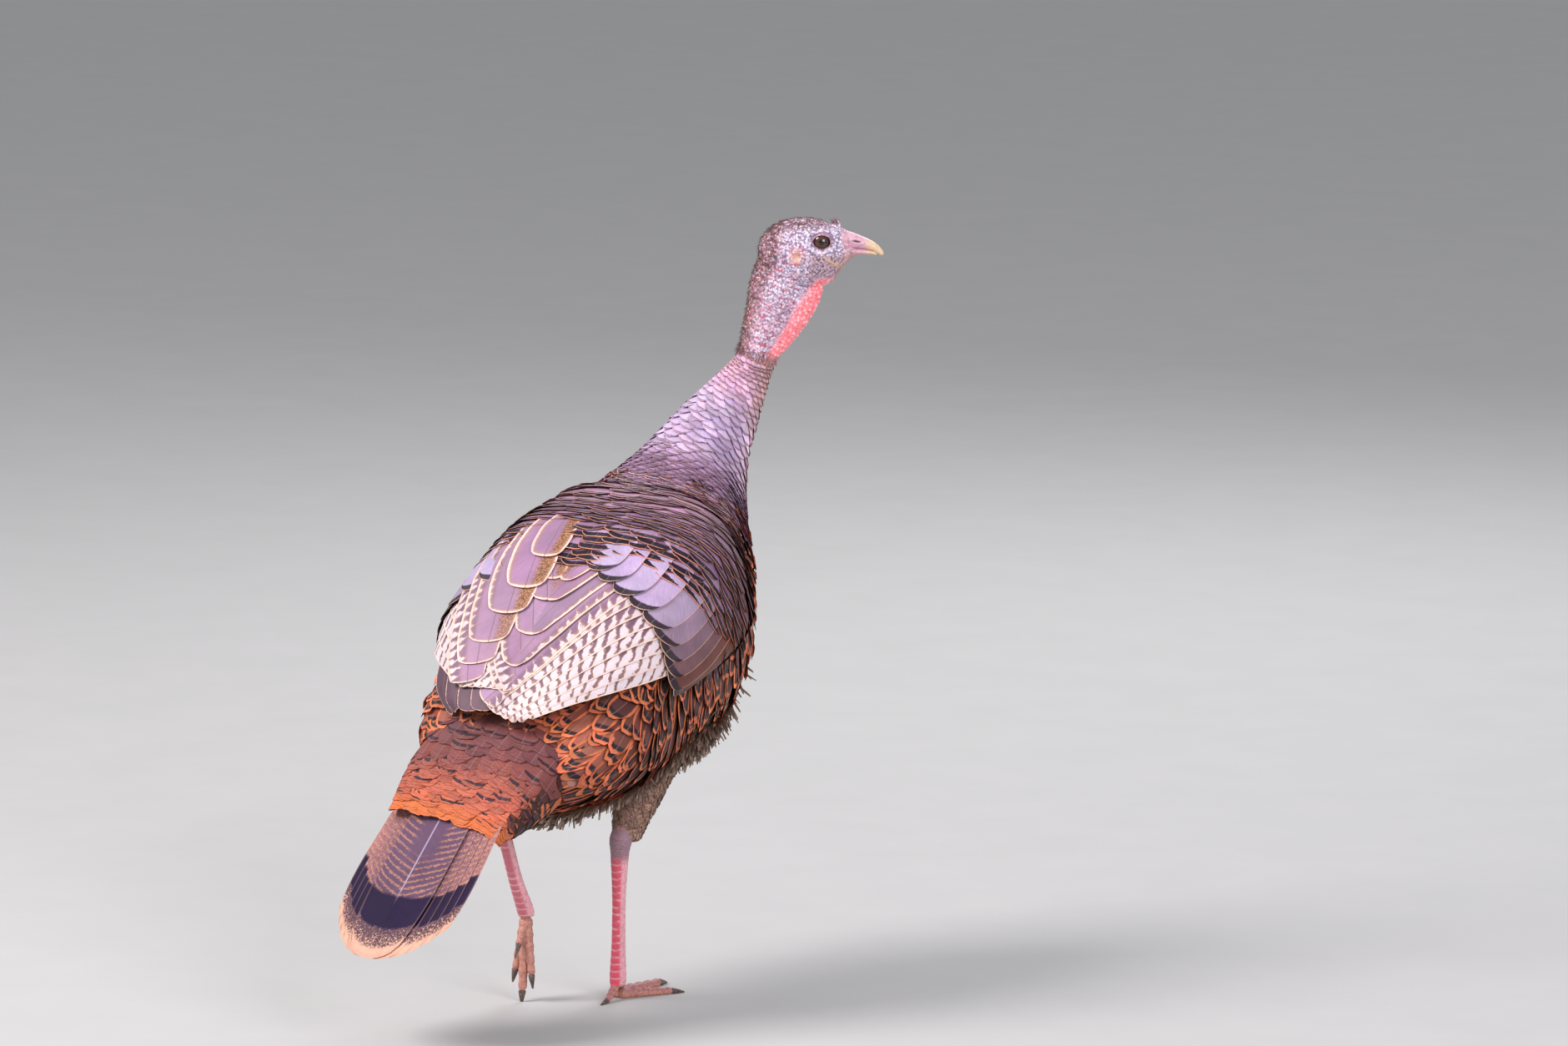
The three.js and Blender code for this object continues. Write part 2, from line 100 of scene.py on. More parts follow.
def tube(stations, t, sides, inset, fullness):
    """Points of a closed tube's rings, shape (len(t), sides, 3)."""
    here, along, right, up = section_axes(stations, t)
    angle = np.arange(sides) * 2 * math.pi / sides
    square = here[:, 6][:, None]
    inset = np.broadcast_to(np.asarray(inset, float), t.shape)[:, None]
    cos = np.sign(np.cos(angle)) * np.abs(np.cos(angle)) ** (2 / square)
    sin = np.sign(np.sin(angle)) * np.abs(np.sin(angle)) ** (2 / square)
    across = np.maximum(here[:, 3:4] - inset, 1) * fullness[:, None] * cos
    rise = np.where(sin > 0, np.maximum(here[:, 4:5] - inset, 1), np.maximum(here[:, 5:6] - inset, 1))
    rise = rise * fullness[:, None] * sin
    return here[:, None, :3] + right[:, None] * across[..., None] + up[:, None] * rise[..., None]


def domed(rings, start, end):
    """Places along a tube, drawn together in its round ends, and how full each ring is."""
    t = (1 - np.cos(np.linspace(0, math.pi, rings))) / 2
    t = np.clip(0.25 * t + 0.75 * np.linspace(0, 1, rings), 0.0005, 0.9995)
    short = np.maximum(np.maximum(1 - t / start, 1 - (1 - t) / end), 0)
    return t, np.sqrt(1 - short**2)


def mesh_piece(name, places, faces):
    """A new object from points in millimetres and lists of faces."""
    data = bpy.data.meshes.new(name)
    data.from_pydata(((np.asarray(places) + BIRD_PLACE) * MM).tolist(), [], faces)
    data.update()
    piece = bpy.data.objects.new(name, data)
    bpy.context.collection.objects.link(piece)
    return piece


def ring_faces(rings, sides):
    """Quads between rings of points, and a fan at each end round two last points."""
    faces = []
    for i in range(rings - 1):
        for j in range(sides):
            n = (j + 1) % sides
            faces.append((i * sides + j, (i + 1) * sides + j, (i + 1) * sides + n, i * sides + n))
    start, last = rings * sides, (rings - 1) * sides
    for j in range(sides):
        n = (j + 1) % sides
        faces.append((start, j, n))
        faces.append((start + 1, last + n, last + j))
    return faces


def closed_tube(name, rings_of_points):
    rings, sides = rings_of_points.shape[:2]
    ends = [rings_of_points[0].mean(0), rings_of_points[-1].mean(0)]
    return mesh_piece(name, np.vstack([rings_of_points.reshape(-1, 3), ends]), ring_faces(rings, sides))


def only(piece):
    """Selects one piece and nothing else."""
    bpy.ops.object.select_all(action="DESELECT")
    piece.select_set(True)
    bpy.context.view_layer.objects.active = piece


def modify(piece, kind, **settings):
    """Adds a modifier and applies it."""
    only(piece)
    modifier = piece.modifiers.new(kind.title(), kind)
    for name, value in settings.items():
        setattr(modifier, name, value)
    bpy.ops.object.modifier_apply(modifier=modifier.name)


def read_all(parts, key, each, kind=float):
    """One value of every part of a mesh, in rows of so many numbers."""
    flat = np.empty(len(parts) * each, kind)
    parts.foreach_get(key, flat)
    return flat.reshape(-1, each)


def places_of(piece):
    """A piece's points in the bird's own millimetres."""
    return read_all(piece.data.vertices, "co", 3) / MM - BIRD_PLACE


def corners_of(piece):
    """The points at the corners of a piece's triangles."""
    return read_all(piece.data.loops, "vertex_index", 1, int).reshape(-1, 3)


def set_places(piece, places):
    piece.data.vertices.foreach_set("co", ((places + BIRD_PLACE) * MM).ravel())
    piece.data.update()


def ease(low, high, value):
    """0 below low, 1 above high, smooth between."""
    x = np.clip((value - low) / (high - low), 0, 1)
    return x * x * (3 - 2 * x)


# ---- Skin ----
# One skin covers trunk, neck, head, thighs, shanks and toes. Under the plumage it lies in by the coat's
# depth, and it comes out to the bird's outline on the bare head and neck and on the scaled legs.
HEAD_CENTRE = np.array([92.0, 244.0, 737.0])
HEAD_DEGREES = 57  # how far the head is turned to the bird's right
HEAD_TURN = math.radians(HEAD_DEGREES)
FORWARD = np.array([math.sin(HEAD_TURN), math.cos(HEAD_TURN), 0])
SIDEWAYS = np.array([math.cos(HEAD_TURN), -math.sin(HEAD_TURN), 0])
UPRIGHT = np.array([0.0, 0.0, 1.0])
GAPE = -5  # height of the line of the mouth, where the skull is widest


def on_head(forward, up, side=0.0):
    return HEAD_CENTRE + FORWARD * forward + UPRIGHT * up + SIDEWAYS * side


def head_places(places):
    """Points as (forward, up, side) from the head's middle."""
    off = places - HEAD_CENTRE
    return off @ FORWARD, off @ UPRIGHT, off @ SIDEWAYS


def head_station(forward, top, bottom, across, square=2.0, level=None):
    """A section of the head or bill from the heights of its top and bottom."""
    middle = (top + bottom) / 2 if level is None else level
    return [*on_head(forward, middle), across, top - middle, middle - bottom, square, HEAD_DEGREES]


def head_stations(*rows):
    return np.array([head_station(*row) for row in rows])


def round_stations(*rows):
    """Sections of the flap or snood: forward, up, half across and half high."""
    return np.array([[*on_head(forward, up), across, high, high, 2, HEAD_DEGREES]
                     for forward, up, across, high in rows])


SKULL = head_stations(
    (-46, 3, -14, 8, 2, GAPE),
    (-38, 14, -24, 13, 2, GAPE),
    (-22, 24.5, -34, 17.5, 2.2, GAPE),
    (-2, 28, -40, 19.5, 2.3, GAPE),
    (14, 26, -41, 18.5, 2.2, GAPE),
    (28, 21, -35, 14.5, 2.1, GAPE),
    (38, 18, -21, 10.5, 2, GAPE),
    (50, 12.5, -11, 8, 2, GAPE),
)
FLAP = round_stations((14, -34, 5, 9), (4, -50, 7.5, 13), (-7, -68, 8.5, 14), (-19, -88, 8, 12),
                      (-31, -107, 6, 8), (-38, -118, 4, 5))
SNOOD = round_stations((32, 12, 5.0, 5.4), (32, 17, 4.6, 4.8), (33, 22, 3.6, 3.8), (33, 26.5, 2.4, 2.4))
THIGHS = {
    "right": [(60, 50, 300, 44), (52, 21, 240, 30), (46, 10, 206, 23), (42, 2, 183, 18.5), (40, -3, 162, 13)],
    "left": [(-56, -14, 262, 42), (-50, -58, 240, 34), (-44, -92, 224, 25), (-40, -112, 214, 17.5),
             (-39, -119, 206, 14)],
}
THIGH_DEPTH = 4.0  # how deep the plumage lies on the thighs
SKIN_GRAIN = 0.00115  # metres between the points of the head's skin


def limb_stations(points):
    """Sections of a round limb from its middle points and radii."""
    return np.array([[x, y, z, r, r, r, 2, 0] for x, y, z, r in points], float)


def coat_depth(t):
    """How deep the plumage lies on trunk and neck, thin at the neck's top."""
    return np.interp(t, [0.30, 0.40, 0.52, 0.60, 0.65, NECK_TOP], [9.8, 9.0, 5.5, 4.2, 3.2, 2.4])


def neck_depth(t):
    """The same on the neck, coming out to nothing where the bare skin begins."""
    return coat_depth(t) * (1 - ease(NECK_TOP - 0.002, NECK_TOP + 0.010, t))


def loft_piece(name, stations, rings, sides, dome, inset=0.0):
    t, fullness = domed(rings, *dome)
    depth = inset(t) if callable(inset) else inset
    return closed_tube(name, tube(stations, t, sides, depth, fullness))


def joined(name, pieces):
    """Several pieces as one, each still closed by itself."""
    bpy.ops.object.select_all(action="DESELECT")
    for piece in pieces:
        piece.select_set(True)
    bpy.context.view_layer.objects.active = pieces[0]
    bpy.ops.object.join()
    whole = bpy.context.view_layer.objects.active
    whole.name = whole.data.name = name
    return whole


NECK_FROM, TRUNK_TO, LAST = 10, 11, len(BODY_LINE) - 1  # stations where the neck begins and the trunk ends
head_skin = joined("skin", [
    loft_piece("bare_neck", BODY_LINE[NECK_FROM:], 90, 72, (0.04, 0.06),
               lambda t: neck_depth((NECK_FROM + (LAST - NECK_FROM) * t) / LAST)),
    loft_piece("skull", SKULL, 80, 72, (0.10, 0.10)),
    loft_piece("flap", FLAP, 60, 40, (0.12, 0.12)),
    loft_piece("snood", SNOOD, 24, 24, (0.1, 0.35)),
])
modify(head_skin, "REMESH", mode="VOXEL", voxel_size=SKIN_GRAIN)
modify(head_skin, "SMOOTH", factor=0.5, iterations=8)

trunk_skin = loft_piece("trunk_skin", BODY_LINE[:TRUNK_TO + 1], 80, 64, (0.07, 0.03),
                        lambda t: coat_depth(t * TRUNK_TO / LAST))
thigh_skins = [
    loft_piece("thigh_skin_" + side, limb_stations(points), 40, 36, (0.2, 0.08), THIGH_DEPTH)
    for side, points in THIGHS.items()
]

# The shanks run from hock to foot, and each foot has three toes ahead and a short one behind. The right foot
# stands on the floor; the left one is lifted, and its toes hang together.
SHANKS = {
    "right": [(40, -6, 177, 9), (40, -12, 165, 11.5), (38.5, -12, 148, 9.2), (35.5, -9, 108, 6.8),
              (32, -5, 60, 6.8), (28.5, -1, 24, 8.2), (28, 0, 11, 7.6)],
    "left": [(-38, -117, 230, 9), (-38, -122, 219, 11.5), (-39, -115, 204, 9.2), (-40, -99, 172, 6.8),
             (-42, -78, 126, 6.8), (-43.5, -60, 94, 8.2), (-44, -57, 85, 8)],
}
FEET = {"right": np.array([28.0, 0.0, 13.0]), "left": np.array([-44.0, -57.0, 85.0])}
TOES = [("inner", -34, 56, 6.2), ("middle", 0, 76, 6.8), ("outer", 34, 60, 6.0), ("hind", 172, 27, 4.8)]
TOE_PRESS = 0.76  # height of a standing toe's middle, as a share of its radius
HIND_RISE = 13  # how far above the floor the hind toe begins
CLAW_LENGTH = 15


def toe_path(side, name, angle):
    """Where a toe's middle lies at a distance from the foot, for a radius."""
    foot = FEET[side]
    hind = name == "hind"
    if side == "right":
        turn = math.radians(angle)
        return lambda far, r: (foot[0] + math.sin(turn) * far, foot[1] + math.cos(turn) * far,
                               r * TOE_PRESS + HIND_RISE * hind * max(0, 1 - far / 24))
    spread = math.radians(0 if hind else angle * 0.3)
    slope = -0.5 if hind else -0.1
    return lambda far, r: (foot[0] + math.sin(spread) * far, foot[1] + slope * far,
                           foot[2] - far * math.cos(spread))


def toe_stations(side, name, angle, length, radius):
    """Sections of a toe, which narrows to its end and swells at every other one into a pad."""
    path = toe_path(side, name, angle)
    pads = [(i / 10, radius * (1 - 0.42 * i / 10) * (1.07 if i % 2 else 0.91)) for i in range(11)]
    return limb_stations([(*path(length * share, pad), pad) for share, pad in pads])


def united(piece, others):
    """One closed skin from several that run into each other."""
    for other in [piece, *others]:
        modify(other, "TRIANGULATE")
    for other in others:
        modify(piece, "BOOLEAN", operation="UNION", solver="MANIFOLD", object=other)
        bpy.data.objects.remove(other)
    return piece


def leg_skin(side):
    """A shank with its four toes."""
    shank = loft_piece("shank_skin", limb_stations(SHANKS[side]), 200, 36, (0.05, 0.05))
    toes = [loft_piece("toe_skin", toe_stations(side, *toe), 52, 20, (0.08, 0.1)) for toe in TOES]
    return united(shank, toes)


legs = [leg_skin(side) for side in SHANKS]
trunk_skin = united(trunk_skin, [*thigh_skins, *legs])
skin = united(head_skin, [trunk_skin])


def cut_finer(mesh, chosen):
    """Halves the edges where chosen says so of forward, up and side from the head's middle."""
    mesh.verts.ensure_lookup_table()
    f, u, side = head_places(np.array([v.co for v in mesh.verts]) / MM - BIRD_PLACE)
    inside = chosen(f, u, np.abs(side))
    edges = [e for e in mesh.edges if inside[e.verts[0].index] and inside[e.verts[1].index]]
    bmesh.ops.subdivide_edges(mesh, edges=edges, cuts=1, use_grid_fill=True)


# The face is meshed finer than the rest, for the lids, the nostril and the small folds.
fine = bmesh.new()
fine.from_mesh(skin.data)
bmesh.ops.remove_doubles(fine, verts=fine.verts, dist=0.00005)
cut_finer(fine, lambda f, u, side: (f > -12) & (u > -24) & (side > 2))
cut_finer(fine, lambda f, u, side: (np.hypot((f - 17.4) / 14, (u - 5.8) / 12) < 1) & (side > 8))
bmesh.ops.triangulate(fine, faces=fine.faces)
fine.to_mesh(skin.data)
fine.free()
skin.data.update()


def bumps(places, size, seed=0.0):
    """Rounded cells: 1 at each one's middle and 0 at its rim; then 0 in the creases and 1 away from them."""
    tops, creases = np.empty(len(places)), np.empty(len(places))
    for i, place in enumerate(places / size + seed):
        near = noise.voronoi(Vector(place))[0]
        tops[i] = near[0]
        creases[i] = near[1] - near[0]
    return 1 - np.clip(tops / 0.75, 0, 1), ease(0.0, 0.22, creases)


def rough(places, size, seed=0.0):
    """Smooth noise from -1 to 1, with lumps of a size in millimetres."""
    return np.array([noise.noise(Vector(place)) for place in places / size + seed])


def bell(value, middle, width):
    """1 at the middle, falling away to nothing on both sides."""
    return np.exp(-((value - middle) / width) ** 2)


def waves(value):
    """1 where a value is whole, 0 halfway between."""
    return np.abs(value % 1 - 0.5) * 2


class Wire:
    """A shader socket that can stand in a sum."""

    def __init__(self, finish, socket):
        self.finish, self.socket = finish, socket

    def __add__(self, other): return self.finish.maths("ADD", self, other)
    def __radd__(self, other): return self.finish.maths("ADD", other, self)
    def __sub__(self, other): return self.finish.maths("SUBTRACT", self, other)
    def __rsub__(self, other): return self.finish.maths("SUBTRACT", other, self)
    def __mul__(self, other): return self.finish.maths("MULTIPLY", self, other)
    def __rmul__(self, other): return self.finish.maths("MULTIPLY", other, self)
    def __truediv__(self, other): return self.finish.maths("DIVIDE", self, other)


class Finish:
    """A material made of nodes round one shader."""

    def __init__(self, name, **fixed):
        self.material = bpy.data.materials.new(name)
        self.material.use_nodes = True
        self.tree = self.material.node_tree
        self.shader = self.tree.nodes["Principled BSDF"]
        for socket, value in fixed.items():
            self.shader.inputs[socket.replace("_", " ")].default_value = value

    def node(self, kind, settings=None, inputs=None, out=0):
        """Adds a node, sets it up, feeds its inputs and gives one of its outputs."""
        node = self.tree.nodes.new("ShaderNode" + kind)
        for name, value in (settings or {}).items():
            setattr(node, name, value)
        for name, value in (inputs or {}).items():
            if isinstance(value, Wire):
                self.tree.links.new(value.socket, node.inputs[name])
            else:
                node.inputs[name].default_value = value
        return Wire(self, node.outputs[out])

    def maths(self, operation, *values):
        return self.node("Math", dict(operation=operation), dict(enumerate(values)))

    def ease(self, low, high, value):
        """0 below low, 1 above high, smooth between."""
        return self.node("MapRange", dict(interpolation_type="SMOOTHSTEP"),
                         {"Value": value, "From Min": low, "From Max": high})

    def mix(self, share, first, second, blend="MIX"):
        paint = lambda c: (*c, 1.0) if isinstance(c, tuple) and len(c) == 3 else c
        return self.node("Mix", dict(data_type="RGBA", blend_type=blend),
                         {0: share, 6: paint(first), 7: paint(second)}, out=2)

    def noise(self, scale, detail, rough, place=None):
        vector = place or self.object_place()
        inputs = {"Scale": scale, "Detail": detail, "Roughness": rough, "Vector": vector}
        return self.node("TexNoise", None, inputs)

    def object_place(self):
        return self.node("TexCoord", out="Object")

    def streaks(self, along_barb, across, seed):
        """Uneven barbs, drawn out along their own length."""
        place = self.node("CombineXYZ", None, {0: along_barb * 0.8, 1: across * 0.10 + seed * 60, 2: 0.0})
        return self.noise(1.0, 3, 0.65, place)

    def own(self, name, out="Color"):
        """A colour kept with the mesh, or the measure that goes with it."""
        return self.node("Attribute", dict(attribute_name=name), out=out)

    def parts(self, wire):
        """The three numbers of a place or colour."""
        node = self.tree.nodes.new("ShaderNodeSeparateXYZ")
        self.tree.links.new(wire.socket, node.inputs[0])
        return [Wire(self, output) for output in node.outputs]

    def feed(self, socket, wire):
        self.tree.links.new(wire.socket, self.shader.inputs[socket])

    def lit(self, colour, light):
        """A colour made lighter or darker by a number."""
        grey = self.node("CombineXYZ", None, {0: light, 1: light, 2: light})
        return self.mix(1.0, colour, grey, "MULTIPLY")

    def bump(self, height, distance, strength):
        inputs = {"Height": height, "Distance": distance, "Strength": strength}
        self.feed("Normal", self.node("Bump", None, inputs, out="Normal"))


def paint(*rgb):
    """A paint from screen colours of 0 to 255."""
    return tuple(((c / 255 + 0.055) / 1.055) ** 2.4 if c > 10 else c / 3294.6 for c in rgb)


def blended(low, high, share):
    """From one paint to another by a share for each place."""
    share = np.asarray(share)[:, None]
    return np.asarray(low) * (1 - share) + np.asarray(high) * share


def layered(tone, *coats):
    """Paints laid one over the other, each a colour and its share."""
    for colour, share in coats:
        tone = blended(tone, colour, share)
    return tone


def colour_points(data, name, colours):
    """Keeps a colour with each point of a mesh. One of three numbers gets a fourth, 1."""
    if colours.shape[1] == 3:
        colours = np.column_stack([colours, np.ones(len(colours))])
    layer = data.color_attributes.new(name=name, type="FLOAT_COLOR", domain="POINT")
    layer.data.foreach_set("color", colours.ravel())


def lay_flat(data, name, places):
    """A flat map of a mesh, with a place for each corner of each face."""
    data.uv_layers.new(name=name).data.foreach_set("uv", places.astype(np.float32).ravel())


# Folds, lids, ear and warts are drawn out of the plain form, and each place gets the paint of its own part.
PALE_SKIN = paint(228, 218, 242)
PINK_SKIN = paint(216, 166, 190)
RED_SKIN = paint(214, 92, 92)
FLAP_RED = paint(252, 142, 150)
NAPE_SKIN = paint(176, 122, 130)
EAR_TAN = paint(212, 164, 138)
GAPE_YELLOW = paint(200, 162, 124)
LID_DARK = paint(74, 52, 60)
EYE_AT = (17.2, 5.6)  # the globe's middle, forward and up
LIDS_AT = (17.4, 5.6)
EYE_HALF = (8.3, 6.5)  # the lids' opening, forward and up
GLOBE = dict(radius=9.4, side=9.7)
# Heights from the head's middle, and how far forward the middle of neck and flap lies there.
NECK_LINE = ([-130, -92, -66, -41, -19, 1], [-58, -44, -38, -31, -21, -14])
FLAP_LINE = ([-118, -107, -88, -68, -50, -34], [-38, -31, -19, -7, 4, 14])

at = places_of(skin)
outward = read_all(skin.data.vertices, "normal", 3)
f, u, sideways = head_places(at)
half = np.abs(sideways)
bare = ease(-132, -124, u + 0.30 * f)  # 1 on the bare head and neck
neck_front = ease(-62, -34, u)  # 0 on the neck, 1 on the head
nape = ease(-2, -16, f - np.interp(u, *NECK_LINE)) * bare * (u < 26)
on_flap = ease(-9, 1, f - np.interp(u, *FLAP_LINE)) * ease(-123, -117, u)
on_flap = on_flap * (1 - ease(-36, -27, u))
crown = ease(12, 24, u)

shown = bare > 0.01
warty = shown & (on_flap > 0.01)
cobble, wart, slow, quick = np.zeros((4, len(at)))
crease, wart_crease = np.ones((2, len(at)))
cobble[shown], crease[shown] = bumps(at[shown], 2.6)
wart[warty], wart_crease[warty] = bumps(at[warty], 4.0, 3.0)
slow[shown], quick[shown] = rough(at[shown], 14.0), rough(at[shown], 4.0, 9.0)
folds = waves((u + 0.35 * f + 5.0 * slow + 1.6 * quick) / 6.2)  # 0 in the crease between two folds
fold_depth = (0.35 + 0.95 * nape) * (1 - on_flap) * (1 - 0.8 * ease(-6, 10, f) * neck_front) * bare
eye_close = np.hypot((f - LIDS_AT[0]) / EYE_HALF[0], (u - LIDS_AT[1]) / EYE_HALF[1])  # 1 on the lids' rim
by_eye = (1 - ease(1.35, 1.9, eye_close)) * (half > 7)
ear = np.hypot((f + 7.5) / 5.6, (u + 8.5) / 6.2)
jaw = bell(u + 17 + 0.62 * (f - 30), 0, 3.0) * ease(14, 24, f) * (half > 3)

push = 0.55 * (cobble - 0.4) * bare * (1 - by_eye) * (1 - 0.4 * crown)
push += 1.5 * (wart - 0.25) * on_flap
push += fold_depth * (ease(0, 0.75, folds) - 0.75)
push += 0.35 * slow * bare
push += (half > 8) * (0.9 * bell(ear, 1.0, 0.35) - 1.6 * (1 - ease(0.25, 0.8, ear)))
push += 1.3 * bell(u, 15.5, 3.4) * bell(f, 18, 11) * (half > 6)  # brow
push -= 1.4 * bell(u, 5, 6.0) * bell(f, 33, 4.5) * (half > 4)  # hollow before the eye
push += 0.9 * jaw
push -= 0.9 * bell(u + 6.5 - 0.25 * (f - 44), 0, 1.1) * ease(34, 39, f)  # corner of the mouth
at = at + outward * push[:, None]

# The lids are a rim that rests on the globe, open in the middle.
f, u, sideways = head_places(at)
off = np.hypot(f - EYE_AT[0], u - EYE_AT[1])
globe_face = GLOBE["side"] + np.sqrt(np.maximum(GLOBE["radius"] ** 2 - off**2, 1.0))
lid_roll = 1.15 * bell(eye_close, 1.14, 0.13) + 0.6 * bell(eye_close, 1.48, 0.09)
lid_face = np.where(eye_close < 1.0, globe_face - 1.2 - 9 * (1 - ease(0.80, 0.985, eye_close)),
                    np.maximum(globe_face, 14.6) + 0.35 + lid_roll)
side_now = np.abs(sideways)
blend_in = (1 - ease(1.28, 1.85, eye_close)) * (side_now > 6)
side_next = np.where(eye_close < 1.9, side_now * (1 - blend_in) + lid_face * blend_in, side_now)
at = at + SIDEWAYS * (np.sign(sideways) * (side_next - side_now))[:, None]

# The legs are scaled: broad plates down the front and back of each shank and over the toes, small round
# scales elsewhere.
HOCK_PAINT = paint(134, 106, 116)
SHANK_PAINT = {"right": paint(200, 76, 98), "left": paint(182, 98, 112)}
SHANK_BACK = paint(216, 156, 162)
TOE_PAINT = paint(150, 98, 96)
PAD_PAINT = paint(178, 124, 108)
SHANK_PLATE = {"right": 7.4, "left": 6.8}  # height of a plate
TOE_PLATE = 5.2


def shank_at(side, height):
    """The shank's middle, as x, y and z, and its radius, at a height."""
    line = np.array(SHANKS[side], float)[::-1]
    return [np.interp(height, line[:, 2], line[:, k]) for k in range(4)]


leg_part = np.zeros(len(at))
leg_tone = np.zeros((len(at), 3))
for side, points in SHANKS.items():
    own = (np.abs(at[:, 0] - shank_at(side, at[:, 2])[0]) < 60) & (at[:, 2] < points[0][2])
    index = np.where(own & ((at[:, 0] > 0) == (side == "right")))[0]
    spots = at[index]
    mid_x, mid_y, _, radius = shank_at(side, spots[:, 2])
    off_x, off_y = spots[:, 0] - mid_x, spots[:, 1] - mid_y
    foot = FEET[side]
    on_shank = (np.hypot(off_x, off_y) < radius * 1.8) & (spots[:, 2] > foot[2] + 2)
    if side == "right":
        on_foot = ~on_shank & (spots[:, 2] < 28)
        far = np.hypot(spots[:, 0] - foot[0], spots[:, 1] - foot[1])
        upper = ease(0.1, 0.5, read_all(skin.data.vertices, "normal", 3)[index][:, 2])
    else:
        on_foot = ~on_shank & (spots[:, 2] < 96) & (spots[:, 1] > -110)
        far = foot[2] - spots[:, 2]
        upper = ease(-0.1, 0.4, read_all(skin.data.vertices, "normal", 3)[index][:, 1])
    turn = np.degrees(np.arctan2(off_x, off_y))
    front = 1 - ease(48, 66, np.abs(turn))
    rear = ease(122, 140, np.abs(turn))
    joint = ease(-12, -28, spots[:, 2] - points[1][2])  # 0 on the hock, 1 below it
    plate = waves(spots[:, 2] / SHANK_PLATE[side] + 0.10 * np.cos(np.radians(turn * 2)))
    plate_rise = ease(0, 0.28, 1 - plate)
    pebble, pebble_crease = bumps(spots, 2.3, 5.0)
    front_seam, rear_seam = ease(0, 4.5, np.abs(turn + 4)), ease(0, 5.0, 180 - np.abs(turn))
    rise = front * joint * (0.6 * plate_rise * (0.5 + 0.5 * front_seam))
    rise = rise + (1 - front * joint) * 0.5 * pebble * (1 - rear)
    rise = rise + rear * joint * 0.55 * plate_rise * (0.5 + 0.5 * rear_seam)
    plated = np.clip(front + rear, 0, 1)
    tone = blended(SHANK_BACK, SHANK_PAINT[side], plated)
    # darker where the plates and pebbles dip into their creases: painted shade
    tone = tone * (0.74 + 0.36 * (plated * plate_rise + (1 - plated) * pebble_crease))[:, None]
    tone = blended(tone, paint(240, 200, 196), plated * joint * (1 - plate_rise) * 0.7)
    # the hock darker in the creases between its pebbles: painted shade
    tone = blended(np.asarray(HOCK_PAINT) * (0.75 + 0.4 * pebble_crease)[:, None], tone, joint)
    toe_rise = ease(0, 0.3, 1 - waves(far / TOE_PLATE))
    toe_tone = blended(PAD_PAINT, TOE_PAINT, upper)
    # the toes darker in the creases between their scales: painted shade
    toe_tone = toe_tone * (0.7 + 0.4 * (upper * toe_rise + (1 - upper) * pebble_crease))[:, None]
    rise = np.where(on_foot, upper * 0.5 * toe_rise + (1 - upper) * 0.4 * pebble, rise)
    tone = np.where(on_foot[:, None], toe_tone, tone)
    use = on_shank | on_foot
    pick = index[use]
    leg_part[pick] = 1
    leg_tone[pick] = tone[use]
    at[pick] += outward[pick] * (rise[use] - 0.3)[:, None]
on_floor = (at[:, 2] < 0.0) | ((at[:, 2] < 0.8) & (leg_part > 0))
at[:, 2] = np.where(on_floor & (at[:, 2] < 0.5), 0.0, at[:, 2])
set_places(skin, at)

# Paint: pale bluish on the face, pink to red in creases, red on the flap, brown-pink on the nape, with
# painted highlights on the bumps and painted shade between them.
red_lines = (1 - ease(0.05, 0.45, folds)) * ease(-0.15, 0.25, quick + 0.25 * nape)
red_lines = red_lines * (1 - neck_front * ease(-14, 4, f))
flap_tone = layered(FLAP_RED, (paint(248, 190, 196), ease(0.35, 0.8, wart)),
                    (paint(206, 70, 74), (1 - wart_crease) * 0.8))
cheek = ease(-2, -12, u) * ease(-4, 10, f) * bare * (1 - on_flap) * neck_front
speck = rough(at, 2.1, 21.0)
upper_lid = ease(-1.5, 2.5, u - EYE_AT[1])
tone = layered(
    PALE_SKIN,
    (PINK_SKIN, np.clip(0.55 * crown + 0.35 * (1 - neck_front) + 0.5 * ease(-0.1, 0.5, slow), 0, 1)),
    (NAPE_SKIN, nape * 0.85),
    (RED_SKIN, 0.85 * red_lines * (0.35 + 0.65 * ease(-6, -26, f))),
    (PINK_SKIN, 0.5 * (1 - crease) * bare),
    # pale on the tops of the bumps: the skin's own pale warts, partly a painted highlight
    (paint(250, 246, 252), ease(0.42, 0.74, cobble) * bare * 0.66),
    # dark at the rims of the bumps: the skin's own mottling, partly painted shade between them
    (paint(104, 88, 124),
     (1 - ease(0.06, 0.36, cobble)) * bare * (1 - 0.4 * crown) * (0.52 + 0.20 * neck_front)),
    (paint(206, 78, 88), 0.8 * red_lines * ease(6, -10, f) * ease(-8, -20, u) * (1 - 0.5 * nape)),
    (flap_tone, on_flap),
    (paint(168, 138, 150), cheek * 0.72))
tone = tone * (1 - (0.5 + 0.22 * cheek) * ease(0.10, 0.36, speck) * (1 - on_flap) * bare)[:, None]
